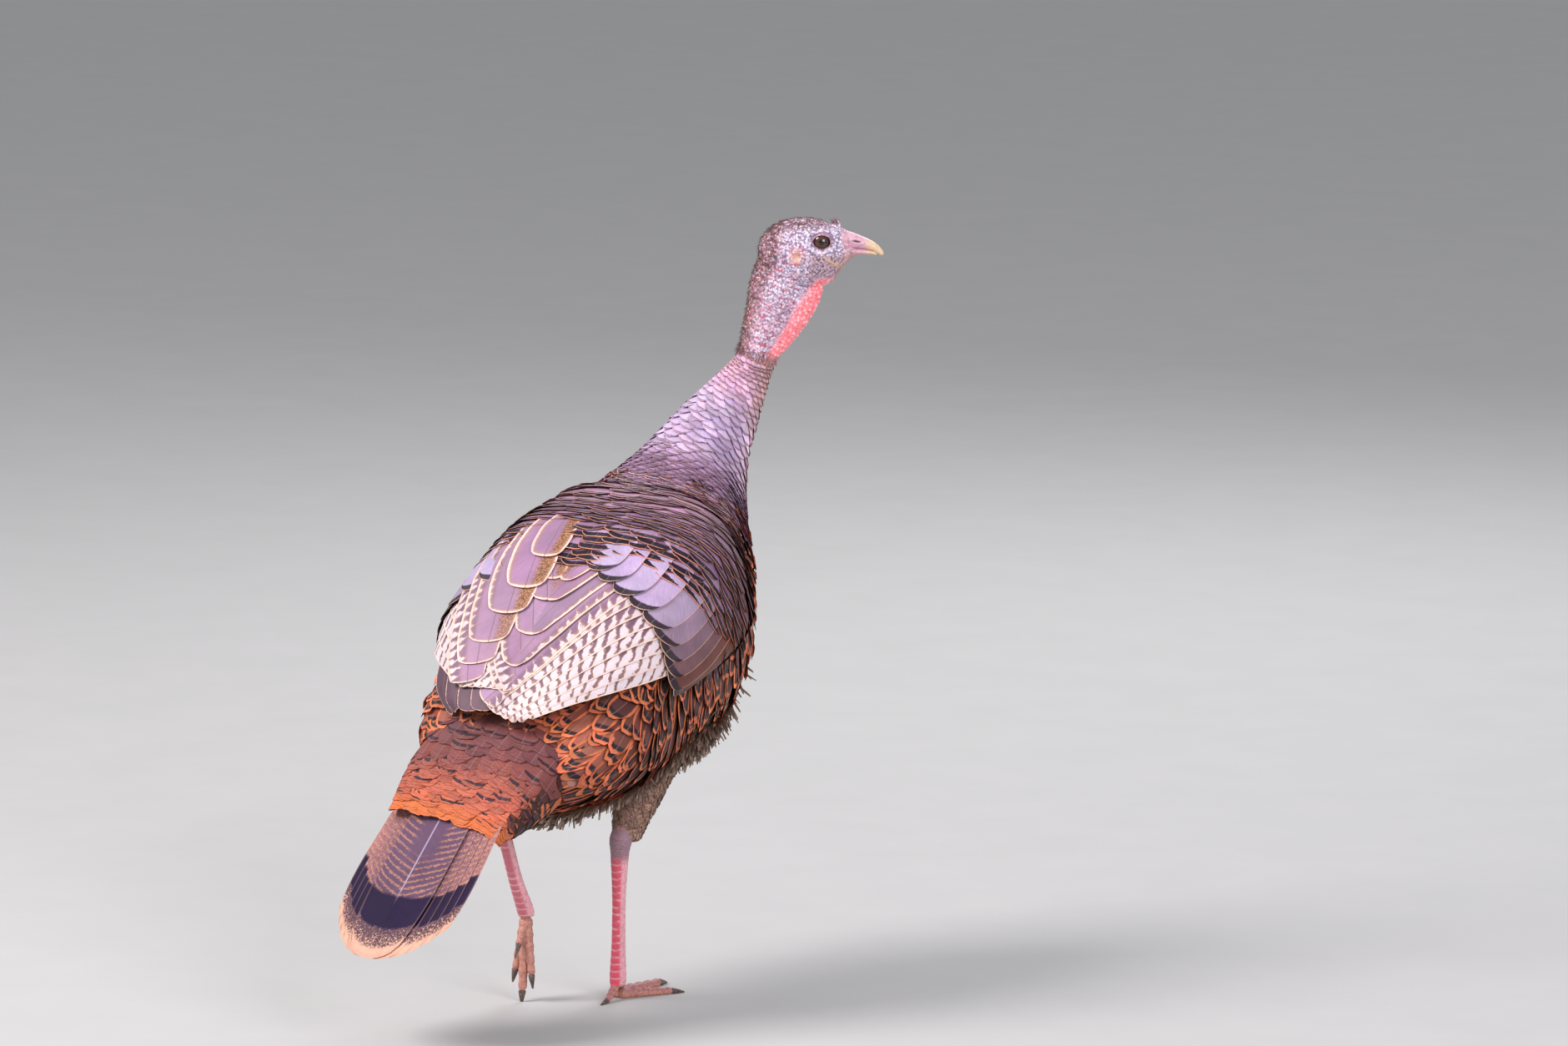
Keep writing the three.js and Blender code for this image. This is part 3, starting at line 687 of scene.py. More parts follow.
# darker in the creases between the bumps: painted shade
tone = tone * (1 - 0.36 * (1 - crease) * bare * (1 - on_flap))[:, None]
tone = layered(
    tone,
    (paint(206, 118, 116), bell(ear, 1.25 + 0.5 * quick, 0.35) * (half > 8) * 0.45),
    (EAR_TAN, (1 - ease(0.55, 1.35, ear + 0.7 * quick + 0.3 * slow)) * (half > 8) * 0.8),
    (GAPE_YELLOW, jaw * ease(0.34, 0.02, speck) * 0.75),
    (paint(206, 150, 150), ease(34, 44, f) * (1 - by_eye) * 0.6),
    (paint(232, 226, 240), bell(eye_close, 1.62, 0.16) * (1 - upper_lid) * (half > 7) * 0.5),
    # darker above the eye: the upper lid's own darker skin, partly painted shade under the brow
    (paint(126, 100, 132), bell(eye_close, 1.38, 0.19) * upper_lid * (half > 7) * 0.8),
    (paint(166, 104, 108), bell(eye_close, 1.17, 0.09) * (half > 7) * 0.8),
    (LID_DARK, bell(eye_close, 1.0, 0.09) * (half > 7) * 0.95))
under_down = blended(paint(176, 126, 116), paint(96, 66, 66), ease(-0.1, 0.3, rough(at, 3.0, 5.0)))
tone = tone * bare[:, None] + (1 - bare[:, None]) * under_down
tone = np.where(leg_part[:, None] > 0, leg_tone, tone)
colour_points(skin.data, "tone", np.maximum(tone, 0.002))
skin.data.shade_smooth()


def tile(low, size, share):
    """Places on a flat map from low on, filled as far as a share from 0 to 1."""
    return low + size * np.clip(share, 0, 1)


# The skin laid out flat: both sides of the head large in the upper half, then the legs, the feet from above
# and below, and the hidden trunk in a strip.
corners = corners_of(skin)
spots, middles = at[corners], at[corners].mean(1)
facing_up, facing_front = (read_all(skin.data.polygons, "normal", 3)[:, k] > 0 for k in (2, 1))
f3, u3, _ = head_places(spots)
_, mid_up, mid_side = head_places(middles)
flat_u = 0.01 + 0.98 * (0.5 + np.arctan2(spots[..., 0], spots[..., 2] - 300) / (2 * math.pi))
flat_v = tile(0.01, 0.24, (spots[..., 1] + 200) / 480)
of_head = (mid_up > -150)[:, None]
flat_u = np.where(of_head, tile(np.where(mid_side > 0, 0.005, 0.375)[:, None], 0.36, (f3 + 76) / 140), flat_u)
flat_v = np.where(of_head, tile(0.535, 0.46, (u3 + 150) / 184), flat_v)
for order, (side, points) in enumerate(SHANKS.items()):
    own = ((leg_part[corners].min(1) > 0) & ((middles[:, 0] > 0) == (side == "right")))[:, None]
    mid_x, mid_y = shank_at(side, spots[..., 2])[:2]
    turned = np.arctan2(spots[..., 0] - mid_x, mid_y - spots[..., 1]) / (2 * math.pi) + 0.5
    turned = np.where((turned < 0.3) & (turned.max(1) > 0.7)[:, None], turned + 1, turned)
    ankle, top = points[-1][2] - 4, points[0][2]
    flat_u = np.where(own, 0.75 + 0.125 * order + 0.075 * turned, flat_u)
    flat_v = np.where(own, tile(0.535, 0.46, (spots[..., 2] - ankle) / (top - ankle)), flat_v)
    foot = FEET[side]
    low = own & (middles[:, 2] < foot[2] + 6)[:, None]
    long = (spots[..., 1] - foot[1]) if side == "right" else (foot[2] - spots[..., 2])
    facing = facing_up if side == "right" else facing_front
    start = 0.005 + 0.5 * order + np.where(facing, 0.0, 0.25)[:, None]
    flat_u = np.where(low, tile(start, 0.24, (spots[..., 0] - foot[0] + 62) / 124), flat_u)
    flat_v = np.where(low, tile(0.265, 0.26, (long + 42) / 136), flat_v)
lay_flat(skin.data, "OFBake", np.stack([flat_u, flat_v], -1))

# Skin is soft and a little moist: the paint of each part, finely speckled, with small pores.
skin_paint = Finish("skin_paint", Subsurface_Weight=0.12, Subsurface_Scale=0.004, Specular_IOR_Level=0.45)
pores, blotch = skin_paint.noise(1300, 3, 0.6), skin_paint.noise(240, 3, 0.6)
spots_of_red = skin_paint.ease(0.52, 0.68, blotch) * 0.30
speckled = skin_paint.mix(spots_of_red, skin_paint.own("tone"), (0.52, 0.20, 0.22))
skin_paint.feed("Base Color", skin_paint.lit(speckled, 0.98 + pores * 0.36))
skin_paint.feed("Roughness", 0.40 + 0.25 * pores)
skin_paint.bump(pores + blotch * 0.6, 0.0004, 0.5)
skin.data.materials.clear()
skin.data.materials.append(skin_paint.material)
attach(skin, "root")
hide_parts("head", "snood", "throat_flap", "neck_bare", "neck_feathered", "trunk", "thigh_right",
            "thigh_left")
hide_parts(*[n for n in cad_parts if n.startswith(("shank_", "toe_"))])

# ---- Eyes ----
# A dark brown globe with a black pupil behind a clear cornea, set in each lid.
PUPIL_OUT = 9.0  # from the globe's middle
for word, way in (("right", 1), ("left", -1)):
    bpy.ops.object.select_all(action="DESELECT")
    bpy.ops.mesh.primitive_uv_sphere_add(segments=64, ring_count=40, radius=GLOBE["radius"] * MM)
    eye = bpy.context.object
    eye.name = "eye_globe_" + word
    middle = on_head(*EYE_AT, GLOBE["side"] * way)
    eye.rotation_euler = Vector(SIDEWAYS * way).to_track_quat("Z", "Y").to_euler()
    eye.location = (middle + BIRD_PLACE) * MM
    bpy.ops.object.transform_apply(location=True, rotation=True, scale=True)
    bpy.ops.object.shade_smooth()
    finish = Finish("eye_" + word, Roughness=0.06, Coat_Weight=0.6, Coat_Roughness=0.02, IOR=1.4)
    pupil = tuple((middle + SIDEWAYS * way * PUPIL_OUT + BIRD_PLACE) * MM)
    inputs = {0: finish.object_place(), 1: pupil}
    reach = finish.node("VectorMath", dict(operation="DISTANCE"), inputs, out=1) / MM
    fleck = finish.noise(900, 3, 0.6)
    iris = finish.mix(finish.ease(0.35, 0.7, fleck), (0.045, 0.014, 0.008), (0.11, 0.036, 0.016))
    ringed = finish.mix(finish.ease(5.6, 6.6, reach + (fleck - 0.5) * 0.3), iris, (0.02, 0.012, 0.012))
    finish.feed("Base Color", finish.mix(1 - finish.ease(2.7, 3.0, reach), ringed, (0.004, 0.004, 0.005)))
    eye.data.materials.append(finish.material)
    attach(eye, "root")
    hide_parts("eye_" + word)

# ---- Bill ----
# Two horn sheaths, pink at the base and yellowish at the tip, the upper hooked a little over the lower, with
# a slit of a nostril on each side.
UPPER_BILL = head_stations(
    (36, 16.5, -2, 9.0), (41, 15.6, -2.2, 8.5), (50, 12.5, -2.4, 8.0), (61, 8, -3.4, 6.5), (69, 3.6, -5, 4.6),
    (75, -1.6, -8, 2.6), (79, -8, -11, 1.2))
LOWER_BILL = head_stations(
    (28, -6, -19, 7.4), (42, -1.5, -14, 7.2), (54, -2.2, -9.6, 6.0), (66, -4.4, -9.0, 4), (73, -7.2, -10, 2))
upper_bill = loft_piece("upper_bill", UPPER_BILL, 110, 72, (0.10, 0.05))
lower_bill = loft_piece("lower_bill", LOWER_BILL, 80, 56, (0.12, 0.08))
bill = joined("bill", [upper_bill, lower_bill])
at = places_of(bill)
f, u, sideways = head_places(at)
half = np.abs(sideways)
slit = np.hypot((f - 52.5) / 5.0, (u - 5.2 + 0.16 * (f - 52.5)) / 1.25)  # 1 on the nostril's rim
cere = ease(47, 43, f + 0.35 * (u - 4))
push = -1.9 * (1 - ease(0.55, 1.15, slit)) * (half > 3) + 0.45 * bell(slit, 1.45, 0.3) * (half > 3)
push += 0.5 * cere * (u > -3)
push += 0.08 * np.sin(f * 2.2 + 0.4 * u) * ease(50, 60, f)
set_places(bill, at + read_all(bill.data.vertices, "normal", 3) * push[:, None])
bill_tone = layered(
    paint(220, 172, 190),
    (paint(236, 206, 166), ease(56, 70, f)),
    (paint(150, 112, 112), np.clip(ease(3.0, 9.5, u - (10 - 0.28 * (f - 45))) * 0.6, 0, 1)),
    (paint(60, 36, 36), (1 - ease(0.5, 1.0, slit)) * (half > 3)),
    (paint(206, 160, 172), cere * 0.8),
    (paint(168, 122, 104), 0.6 * ease(-2.5, -7, u + 0.12 * (f - 41))))
stains = ease(0.05, 0.4, rough(at, 3.2, 4.0)) * ease(62, 46, f)
colour_points(bill.data, "tone", bill_tone * (1 - 0.35 * stains)[:, None])
bill.data.shade_smooth()
horn = Finish("horn", Specular_IOR_Level=0.5, Subsurface_Weight=0.06, Subsurface_Scale=0.003)
grain, streak = horn.noise(500, 4, 0.6), horn.noise(90, 2, 0.5)
horn.feed("Base Color", horn.mix(horn.ease(0.45, 0.7, grain) * 0.25, horn.own("tone"), (0.36, 0.22, 0.16)))
horn.feed("Roughness", 0.34 + 0.2 * streak)
horn.bump(grain, 0.0002, 0.4)
bill.data.materials.append(horn.material)
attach(bill, "root")
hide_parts("bill_upper", "bill_lower")

# ---- Claws ----
# Short blunt dark horn claws, one at the end of each toe.
claws = []
for side in ("right", "left"):
    for name, angle, length, radius in TOES:
        path = toe_path(side, name, angle)
        sizes = [(share, radius * 0.6 * (1 - 0.8 * share**1.3)) for share in np.arange(9) / 8]
        rows = [(*path(length - 3 + CLAW_LENGTH * share, thick), thick) for share, thick in sizes]
        claws.append(loft_piece("claw", limb_stations(rows), 26, 16, (0.12, 0.05)))
claw = joined("claws", claws)
at = places_of(claw)
at[:, 2] = np.maximum(at[:, 2], 0)
set_places(claw, at)
claw.data.shade_smooth()
claw_horn = Finish("claw_horn", Specular_IOR_Level=0.5)
streak = claw_horn.noise(400, 4, 0.6)
claw_colour = claw_horn.mix(claw_horn.ease(0.35, 0.7, streak), (0.05, 0.034, 0.03), (0.17, 0.12, 0.10))
claw_horn.feed("Base Color", claw_colour)
claw_horn.feed("Roughness", 0.32 + 0.25 * streak)
claw_horn.bump(streak, 0.0002, 0.5)
claw.data.materials.append(claw_horn.material)
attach(claw, "root")
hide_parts(*[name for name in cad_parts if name.startswith("claw_")])

# ---- Bristles ----
# Sparse hair-like feathers stand on the skin of crown, nape and neck, dark and close together behind, pale
# and few on the face and the flap, with a small tuft on the snood.
HAIR_POINTS = 9  # three rings of three
rng = np.random.default_rng(5)
at = places_of(skin)
outward = read_all(skin.data.vertices, "normal", 3)
f, u, sideways = head_places(at)
half = np.abs(sideways)
finer = np.where((f > -12) & (u > -24), 0.25, 1.0)  # fewer to a point where the skin has more points
finer = np.where(eye_close < 1.9, 0.0, finer)
on_snood = (np.hypot(f - 33, sideways) < 6.5) & (u > 21)
fringe = ease(-116, -121, u + 0.30 * f) * ease(-131, -126, u + 0.30 * f)
chin = ease(22, 34, f) * ease(-6, -10, u)
density = bare * (0.07 + 0.36 * nape + 0.50 * crown * ease(30, 14, f) + 0.10 * (half < 7) * (f > 28))
density = density * (1 - on_flap) + 0.10 * on_flap + 0.22 * chin + 0.26 * fringe
density = np.where(on_snood, 1.0, density) * finer * (leg_part == 0)
picked = np.where((rng.random(len(at)) < density) & (u > -136))[0]
n = len(picked)
f, u, up_way, fringe = f[picked], u[picked], outward[picked], fringe[picked]
tuft, dark_zone = on_snood[picked], np.clip(nape[picked] + crown[picked] + fringe, 0, 1)
red_zone, chin_zone = on_flap[picked], chin[picked]
level = (ease(-22, 8, f) * ease(-24, -8, u))[:, None]
lie = -FORWARD * level - np.array([0.1, 0.25, 1.0]) * (1 - level)
lie = lie + (FORWARD * -0.3 + UPRIGHT * 1.5) * tuft[:, None] + rng.normal(0, 0.22, (n, 3))
lie = unit(lie - up_way * (lie * up_way).sum(1)[:, None] * (1 - tuft[:, None]))
length = (1.9 + 1.9 * dark_zone + 0.6 * chin_zone + 1.6 * tuft + 2.2 * fringe) * rng.uniform(0.7, 1.3, n)
thick = 0.17 + 0.09 * dark_zone + 0.03 * red_zone
across = unit(np.cross(lie, up_way))
rings = []
for share, rise in ((0.0, -0.10), (0.5, 0.26), (1.0, 0.38)):
    middle = at[picked] + (lie * share + up_way * rise) * length[:, None]
    size = (thick * (1 - 0.88 * share))[:, None]
    rings.append(np.stack([middle + (across * math.cos(a) + up_way * math.sin(a)) * size
                           for a in (0.5236, 2.618, 4.712)], 1))
points = np.concatenate(rings, 1)
sides = [(3 * r + k, 3 * r + (k + 1) % 3, 3 * r + 3 + (k + 1) % 3, 3 * r + 3 + k)
         for r in range(2) for k in range(3)]
first_points = (np.arange(n) * HAIR_POINTS)[:, None, None]
faces = (np.array(sides)[None] + first_points).reshape(-1, 4).tolist()
ends = (np.array([(0, 2, 1), (6, 7, 8)])[None] + first_points).reshape(-1, 3).tolist()
bristles = mesh_piece("bristles", points.reshape(-1, 3), faces + ends)
hair = blended(paint(190, 176, 188), paint(66, 40, 42), dark_zone * 0.95)
brown = (rng.random(n) < 0.28) & (dark_zone > 0.4)
hair = np.where(brown[:, None], np.asarray(paint(186, 128, 96)), hair)
hair = layered(hair, (paint(252, 208, 206), red_zone), (paint(214, 184, 150), chin_zone),
               (paint(150, 114, 122), np.maximum(tuft, 0.45 * fringe)))
hair = hair * np.exp(rng.normal(0, 0.25, (n, 1)))
colour_points(bristles.data, "tone", np.repeat(hair, HAIR_POINTS, axis=0))
bristles.data.shade_smooth()
root_u = tile(0.002, 0.99 * 0.49, (f + 76) / 140) + np.where(sideways[picked] > 0, 0.0, 0.5)
root_v = tile(0.002, 0.99, (u + 150) / 184)
corners = read_all(bristles.data.loops, "vertex_index", 1, int)[:, 0]
place, own_point = corners // HAIR_POINTS, corners % HAIR_POINTS
lay_flat(bristles.data, "OFBake", np.stack(
    [root_u[place] + 0.001 * (own_point % 3), root_v[place] + 0.001 * (own_point // 3)], -1))
bristle_finish = Finish("bristle", Roughness=0.5)
streak = bristle_finish.noise(700, 2, 0.5)
hair_colour = bristle_finish.mix(streak * 0.35, bristle_finish.own("tone"), (0.08, 0.05, 0.05))
bristle_finish.feed("Base Color", hair_colour)
bristles.data.materials.append(bristle_finish.material)
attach(bristles, "root")

# ---- Outline of the plumage ----
# The feather tips end on the outline that the rough solids give. It is read all round the body line, once
# with the folded wings and once without them, and eased over the steps between the solids.
TURNS = 240  # places read round the body
STEPS = 330  # places read along it
COATED = (0.006, 0.72)  # the part of the body line that carries feathers
REACH = 400  # millimetres out from the body line where the rays start


class Outline:
    """A closed form read by place along it (0 to 1) and angle round it (0 the bird's right, 90 its back)."""

    def __init__(self, points, t_from, t_to):
        self.points, self.t_from, self.t_to = points, t_from, t_to
        self.rows, self.columns = points.shape[:2]
        along = np.gradient(points, axis=0)
        wrapped = np.concatenate([points[:, -1:], points, points[:, :1]], axis=1)
        round_ = (wrapped[:, 2:] - wrapped[:, :-2]) / 2
        self.out = unit(np.cross(along, round_))
        self.per_t = np.linalg.norm(along, axis=2) * (self.rows - 1) / (t_to - t_from)
        self.per_degree = np.linalg.norm(round_, axis=2) * self.columns / 360

    def read(self, table, t, degrees):
        row = np.clip((t - self.t_from) / (self.t_to - self.t_from), 0, 1) * (self.rows - 1)
        i = np.minimum(row.astype(int), self.rows - 2)
        column = (degrees / 360 % 1) * self.columns
        j = column.astype(int) % self.columns
        k = (j + 1) % self.columns
        v, u = row - i, column - np.floor(column)
        if table.ndim == 3:
            v, u = v[..., None], u[..., None]
        return (table[i, j] * (1 - u) + table[i, k] * u) * (1 - v) + (table[i + 1, j] * (1 - u)
                                                                      + table[i + 1, k] * u) * v


def eased(table):
    """Runs a small average over a table that closes on itself round the body."""
    for _ in range(6):
        ahead, behind = np.vstack([table[1:], table[-1:]]), np.vstack([table[:1], table[:-1]])
        table = (ahead + behind + 2 * table) / 4
        for _ in range(2):
            table = (np.roll(table, 1, 1) + np.roll(table, -1, 1) + 2 * table) / 4
    return table


def solids_tree(names):
    """The named rough solids as one form that rays can be sent at."""
    places, faces = [], []
    for name in names:
        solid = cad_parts[name]
        faces.append(corners_of(solid) + sum(len(p) for p in places))
        places.append(places_of(solid))
    return BVHTree.FromPolygons(np.vstack(places).tolist(), np.vstack(faces).tolist())


def body_outline(names):
    """The outermost place of the named solids, all round the body line from vent to bare neck."""
    tree = solids_tree(names)
    t = np.linspace(*COATED, STEPS)
    here, along, right, up = section_axes(BODY_LINE, t)
    angle = np.arange(TURNS) * 2 * math.pi / TURNS
    ways = right[:, None] * np.cos(angle)[:, None] + up[:, None] * np.sin(angle)[:, None]
    reach = np.zeros((STEPS, TURNS))
    for i in range(STEPS):
        middle = here[i, :3]
        for j in range(TURNS):
            way = ways[i, j]
            hit, _, _, far = tree.ray_cast(Vector(middle + way * REACH), Vector(-way), REACH)
            reach[i, j] = REACH - far if hit is not None else 0
    for _ in range(4):  # a gap takes the reach of the places beside it
        near = np.maximum(np.roll(reach, 1, 1), np.roll(reach, -1, 1))
        reach = np.where(reach < 5, near, reach)
    return Outline(here[:, None, :3] + ways * eased(reach)[..., None], *COATED)


BODY_SOLIDS = ["trunk", "neck_feathered", "neck_bare"]
WING_SOLIDS = [f"wing_{part}_{side}" for part in ("coverts", "secondaries", "primaries")
               for side in ("right", "left")]
with_wings = body_outline(BODY_SOLIDS + WING_SOLIDS)
without_wings = body_outline(BODY_SOLIDS)

# ---- Feathers ----
# A feather is a thin vane with a round tip, a little domed across. Each is rooted at the skin under the ones
# before it, and only its tip comes up to the outline. Every one carries its own colours and measures.
UNEVEN = 0.12  # how far feathers of one row stand off each other's height
VANE_THICK = 0.45
RIM_ANGLE = 60  # degrees from which an edge shows as sharp
BAND_SCALE, EDGE_SCALE = 20, 10  # millimetres in a measure of 1 kept with a colour
ROUND = 6.283  # once round, in radians
COLOURS = ("ground", "edge", "band", "mark")


def vane_pattern(across, along, round_tip=0.32, waist=0.35, point=0.0):
    """Unit places of one vane: -1 to 1 sideways, 0 at the root to 1 at the tip, its width at each, and how
    far the tip's round corners draw back."""
    u, v = np.meshgrid(np.linspace(-1, 1, across + 1), np.linspace(0, 1, along + 1))
    width = waist + (1 - waist) * np.sin(np.minimum(v / 0.55, 1) * math.pi / 2)
    width = width * (1 - 0.22 * np.clip((v - 0.7) / 0.3, 0, 1) ** 2 - point * v**2)
    drop = round_tip * (1 - np.sqrt(1 - (0.96 * u) ** 2)) * v**3
    return u, v, width, drop


def vane_faces(across, along):
    """Faces of a vane's upper side, then of its under side, which shares the rim."""
    top = np.arange((along + 1) * (across + 1)).reshape(along + 1, across + 1)
    under = top.copy()
    under[1:-1, 1:-1] = np.arange((along - 1) * (across - 1)).reshape(along - 1, across - 1) + top.size
    quads = []
    for grid, flip in ((top, False), (under, True)):
        a, b, c, d = grid[:-1, :-1], grid[:-1, 1:], grid[1:, 1:], grid[1:, :-1]
        order = (a, d, c, b) if flip else (a, b, c, d)
        quads.append(np.stack([x.ravel() for x in order], 1))
    return np.vstack(quads)


def both_sides(upper, under=None):
    """Values at the points of every vane's upper side, then at those of its under side inside the rim."""
    under = upper if under is None else under
    shape = (len(upper), -1, upper.shape[-1])
    return np.concatenate([upper.reshape(shape), under[:, 1:-1, 1:-1].reshape(shape)], axis=1)


def vane_batch(upper, under, u, v, side, from_tip, flat, colours):
    """A batch of like vanes: points, faces, maps and colours. Vane runs across and along each one, Lie gives
    the distance from shaft and tip, and OFBake lays them all out flat."""
    pairs = {"Vane": (u * 0.5 + 0.5, v), "Lie": (side / 100, from_tip / 100), "OFBake": flat}
    maps = {key: both_sides(np.stack([np.broadcast_to(x, upper.shape[:3]) for x in pair], -1))
            for key, pair in pairs.items()}
    faces = vane_faces(upper.shape[2] - 1, upper.shape[1] - 1)
    return dict(points=both_sides(upper, under), faces=faces, maps=maps, colours=colours)


def along_lie(outline, column, side, v, drop):
    """Where a short vane's points fall on the outline, from its aim and length at the root."""
    t0, d0, length, aim = column("t"), column("degrees"), column("length"), np.radians(column("aim"))
    far = v * length - drop * column("width")
    turned = lambda x, y: (x * np.cos(aim) - y * np.sin(aim), x * np.sin(aim) + y * np.cos(aim))
    x, y = turned(side, far)
    mid_x, mid_y = turned(0 * length, length / 2)
    tables = (outline.per_t, outline.per_degree)
    scales = lambda t, degrees: [outline.read(table, t, degrees) for table in tables]
    first = scales(t0, d0)
    per_t, per_degree = first
    for _ in range(2):
        middle = scales(t0 - mid_y / per_t, d0 + mid_x / per_degree)
        per_t, per_degree = [(a + 2 * b) / 3 for a, b in zip(first, middle)]
    return t0 - y / per_t, d0 + x / per_degree, far, length


def between(outline, column, side, v, drop):
    """Where a long vane's points fall on the outline, from its root to its tip."""
    t0, d0 = column("t"), column("degrees")
    dt, dd = column("tip_t") - t0, column("tip_degrees") - d0
    bow = column("bow")
    line = lambda share: (t0 + dt * share, d0 + dd * share + bow * 4 * share * (1 - share))
    pt, pd = line(np.linspace(0, 1, 41)[None, :, None])
    steps = np.hypot(np.diff(pt, axis=1) * outline.read(outline.per_t, pt[:, 1:], pd[:, 1:]),
                     np.diff(pd, axis=1) * outline.read(outline.per_degree, pt[:, 1:], pd[:, 1:]))
    length = steps.sum(1, keepdims=True)
    far = v * length - drop * column("width")
    share = far / length
    t, degrees = line(share)
    per_t, per_degree = outline.read(outline.per_t, t, degrees), outline.read(outline.per_degree, t, degrees)
    way_x = (dd + bow * 4 * (1 - 2 * share)) * per_degree
    way_y = dt * per_t
    size = np.hypot(way_x, way_y)
    # sideways is a quarter turn from the way it points, towards more degrees
    return t + side * way_x / size / per_t, degrees - side * way_y / size / per_degree, far, length


def grown_feathers(outline, roots, pattern, shape, seed):
    """Vanes on an outline. roots holds t, degrees, width, height, depth, camber, tilt, curl, fray, thick, the
    four colours, and either length and aim (degrees off the lie) or tip_t, tip_degrees and bow. Each is one
    number, or an array with one entry for each feather."""
    u, v, width, drop = vane_pattern(*pattern, **shape)
    n = len(roots["t"])
    rng = np.random.default_rng(seed)

    def column(key, default=0.0):
        return np.broadcast_to(np.asarray(roots.get(key, default), float), (n,))[:, None, None]

    drop = drop + column("fray") * rng.normal(0, 1, (n, 1, pattern[0] + 1)) * v**3
    side = u * width * column("width") / 2
    fall = between if "tip_t" in roots else along_lie
    t, degrees, far, length = fall(outline, column, side, v, drop)
    base, out = outline.read(outline.points, t, degrees), outline.read(outline.out, t, degrees)
    v_all = np.broadcast_to(v, t.shape)
    height = column("height") - column("depth") * (1 - v_all)
    height = height - column("camber") * u**2 + column("tilt") * u
    height = height + column("curl") * v_all**4
    height = height + rng.normal(0, UNEVEN, (n, 1, 1))
    thick = column("thick", VANE_THICK) * np.ones_like(t)
    flat_u = 0.002 + 0.992 * (column("degrees") / 360 % 1) + 0.003 * (u * 0.5 + 0.5)
    flat_v = 0.002 + 0.992 * ((column("t") - outline.t_from) / (outline.t_to - outline.t_from)) + 0.003 * v
    colours = {key: roots[key] for key in COLOURS}
    return vane_batch(base + out * height[..., None], base + out * (height - thick)[..., None], u, v, side,
                      (1 - v_all) * length, (flat_u, flat_v), colours)


def coat_piece(name, batches, material):
    """Joins batches of feathers into one mesh with its maps and colours."""
    points, faces, maps, colours, start = [], [], {}, {}, 0
    for batch in batches:
        n, per = batch["points"].shape[:2]
        points.append(batch["points"].reshape(-1, 3))
        own = batch["faces"][None] + (start + np.arange(n) * per)[:, None, None]
        faces.append(own.reshape(-1, 4))
        start += n * per
        for key, value in batch["maps"].items():
            maps.setdefault(key, []).append(value.reshape(-1, 2))
        for key, value in batch["colours"].items():
            colours.setdefault(key, []).append(np.repeat(value, per, axis=0))
    points, faces = np.vstack(points), np.vstack(faces)
    data = bpy.data.meshes.new(name)
    data.vertices.add(len(points))
    data.vertices.foreach_set("co", ((points + BIRD_PLACE) * MM).ravel())
    data.loops.add(faces.size)
    data.loops.foreach_set("vertex_index", faces.ravel().astype(np.int32))
    data.polygons.add(len(faces))
    data.polygons.foreach_set("loop_start", np.arange(0, faces.size, 4, dtype=np.int32))
    data.update(calc_edges=True)
    for key, value in maps.items():
        lay_flat(data, key, np.vstack(value)[faces.ravel()])
    for key, value in colours.items():
        colour_points(data, key, np.vstack(value))
    data.shade_smooth()
    data.set_sharp_from_angle(angle=math.radians(RIM_ANGLE))
    piece = bpy.data.objects.new(name, data)
    bpy.context.collection.objects.link(piece)
    data.materials.append(material)
    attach(piece, "root")
    return piece


def by_place(places, values):
    """A measure read along the body line."""
    return lambda t: np.interp(t, places, values)


def rows_of_roots(outline, t_from, t_to, exposure, width, seed, keep=None, jitter=0.1):
    """Roots in rows round the body, staggered, from one place along it to another. exposure and width are in
    millimetres and may be functions of t."""
    rng = np.random.default_rng(seed)
    measure = lambda size, t: size(t) if callable(size) else size
    row_step = outline.per_t.mean(1)
    angles = np.arange(outline.columns) * 360 / outline.columns
    t, row, ts, ds = t_from, 0, [], []
    while t < t_to:
        per_degree = outline.read(outline.per_degree, np.full(outline.columns, t), angles)
        arc = np.concatenate([[0], np.cumsum(per_degree * 360 / outline.columns)])
        count = max(int(arc[-1] / measure(width, t)), 4)
        want = (np.arange(count) + 0.5 * (row % 2) + rng.normal(0, jitter, count)) / count * arc[-1]
        ds.append(np.interp(want % arc[-1], arc, np.append(angles, 360)))
        place = np.clip((t - outline.t_from) / (outline.t_to - outline.t_from), 0, 1) * (outline.rows - 1)
        step = measure(exposure, t) / row_step[int(place)]
        ts.append(t + rng.normal(0, jitter * 0.8, count) * step)
        t += step
        row += 1
    t, degrees = np.concatenate(ts), np.concatenate(ds)
    kept = np.ones(len(t), bool) if keep is None else keep(t, degrees)
    return t[kept], degrees[kept]


def vane_places(f):
    """Where a vane's paint lies: across it from 0 to 1, millimetres off the shaft and back from the tip, how
    far off its middle from 0 to 1, and millimetres in from its side."""
    u = f.parts(f.node("UVMap", dict(uv_map="Vane")))[0]
    across, from_tip = f.parts(f.node("UVMap", dict(uv_map="Lie")))[:2]
    across, from_tip = f.maths("ABSOLUTE", across * 100), from_tip * 100
    middle = f.maths("ABSOLUTE", u * 2 - 1)
    return u, across, from_tip, middle, across * (1 - middle) / f.maths("MAXIMUM", middle, 0.02)


def barbed(f, colour, place, slant, every, waver, noises, seed, strengths):
    """Barbs that run out from the shaft, and a colour that varies by barb, softly, finely and in streaks."""
    across, from_tip = place
    soft, fine = noises
    way = from_tip + across * slant
    barbs = f.maths("SINE", (way + waver) * (ROUND / every))
    streak = f.streaks(way, across, seed)
    light = 1.0
    for part, strength in zip((barbs, soft - 0.5, fine - 0.5, streak - 0.5), strengths):
        light = light + part * strength
    return barbs, f.lit(colour, light)


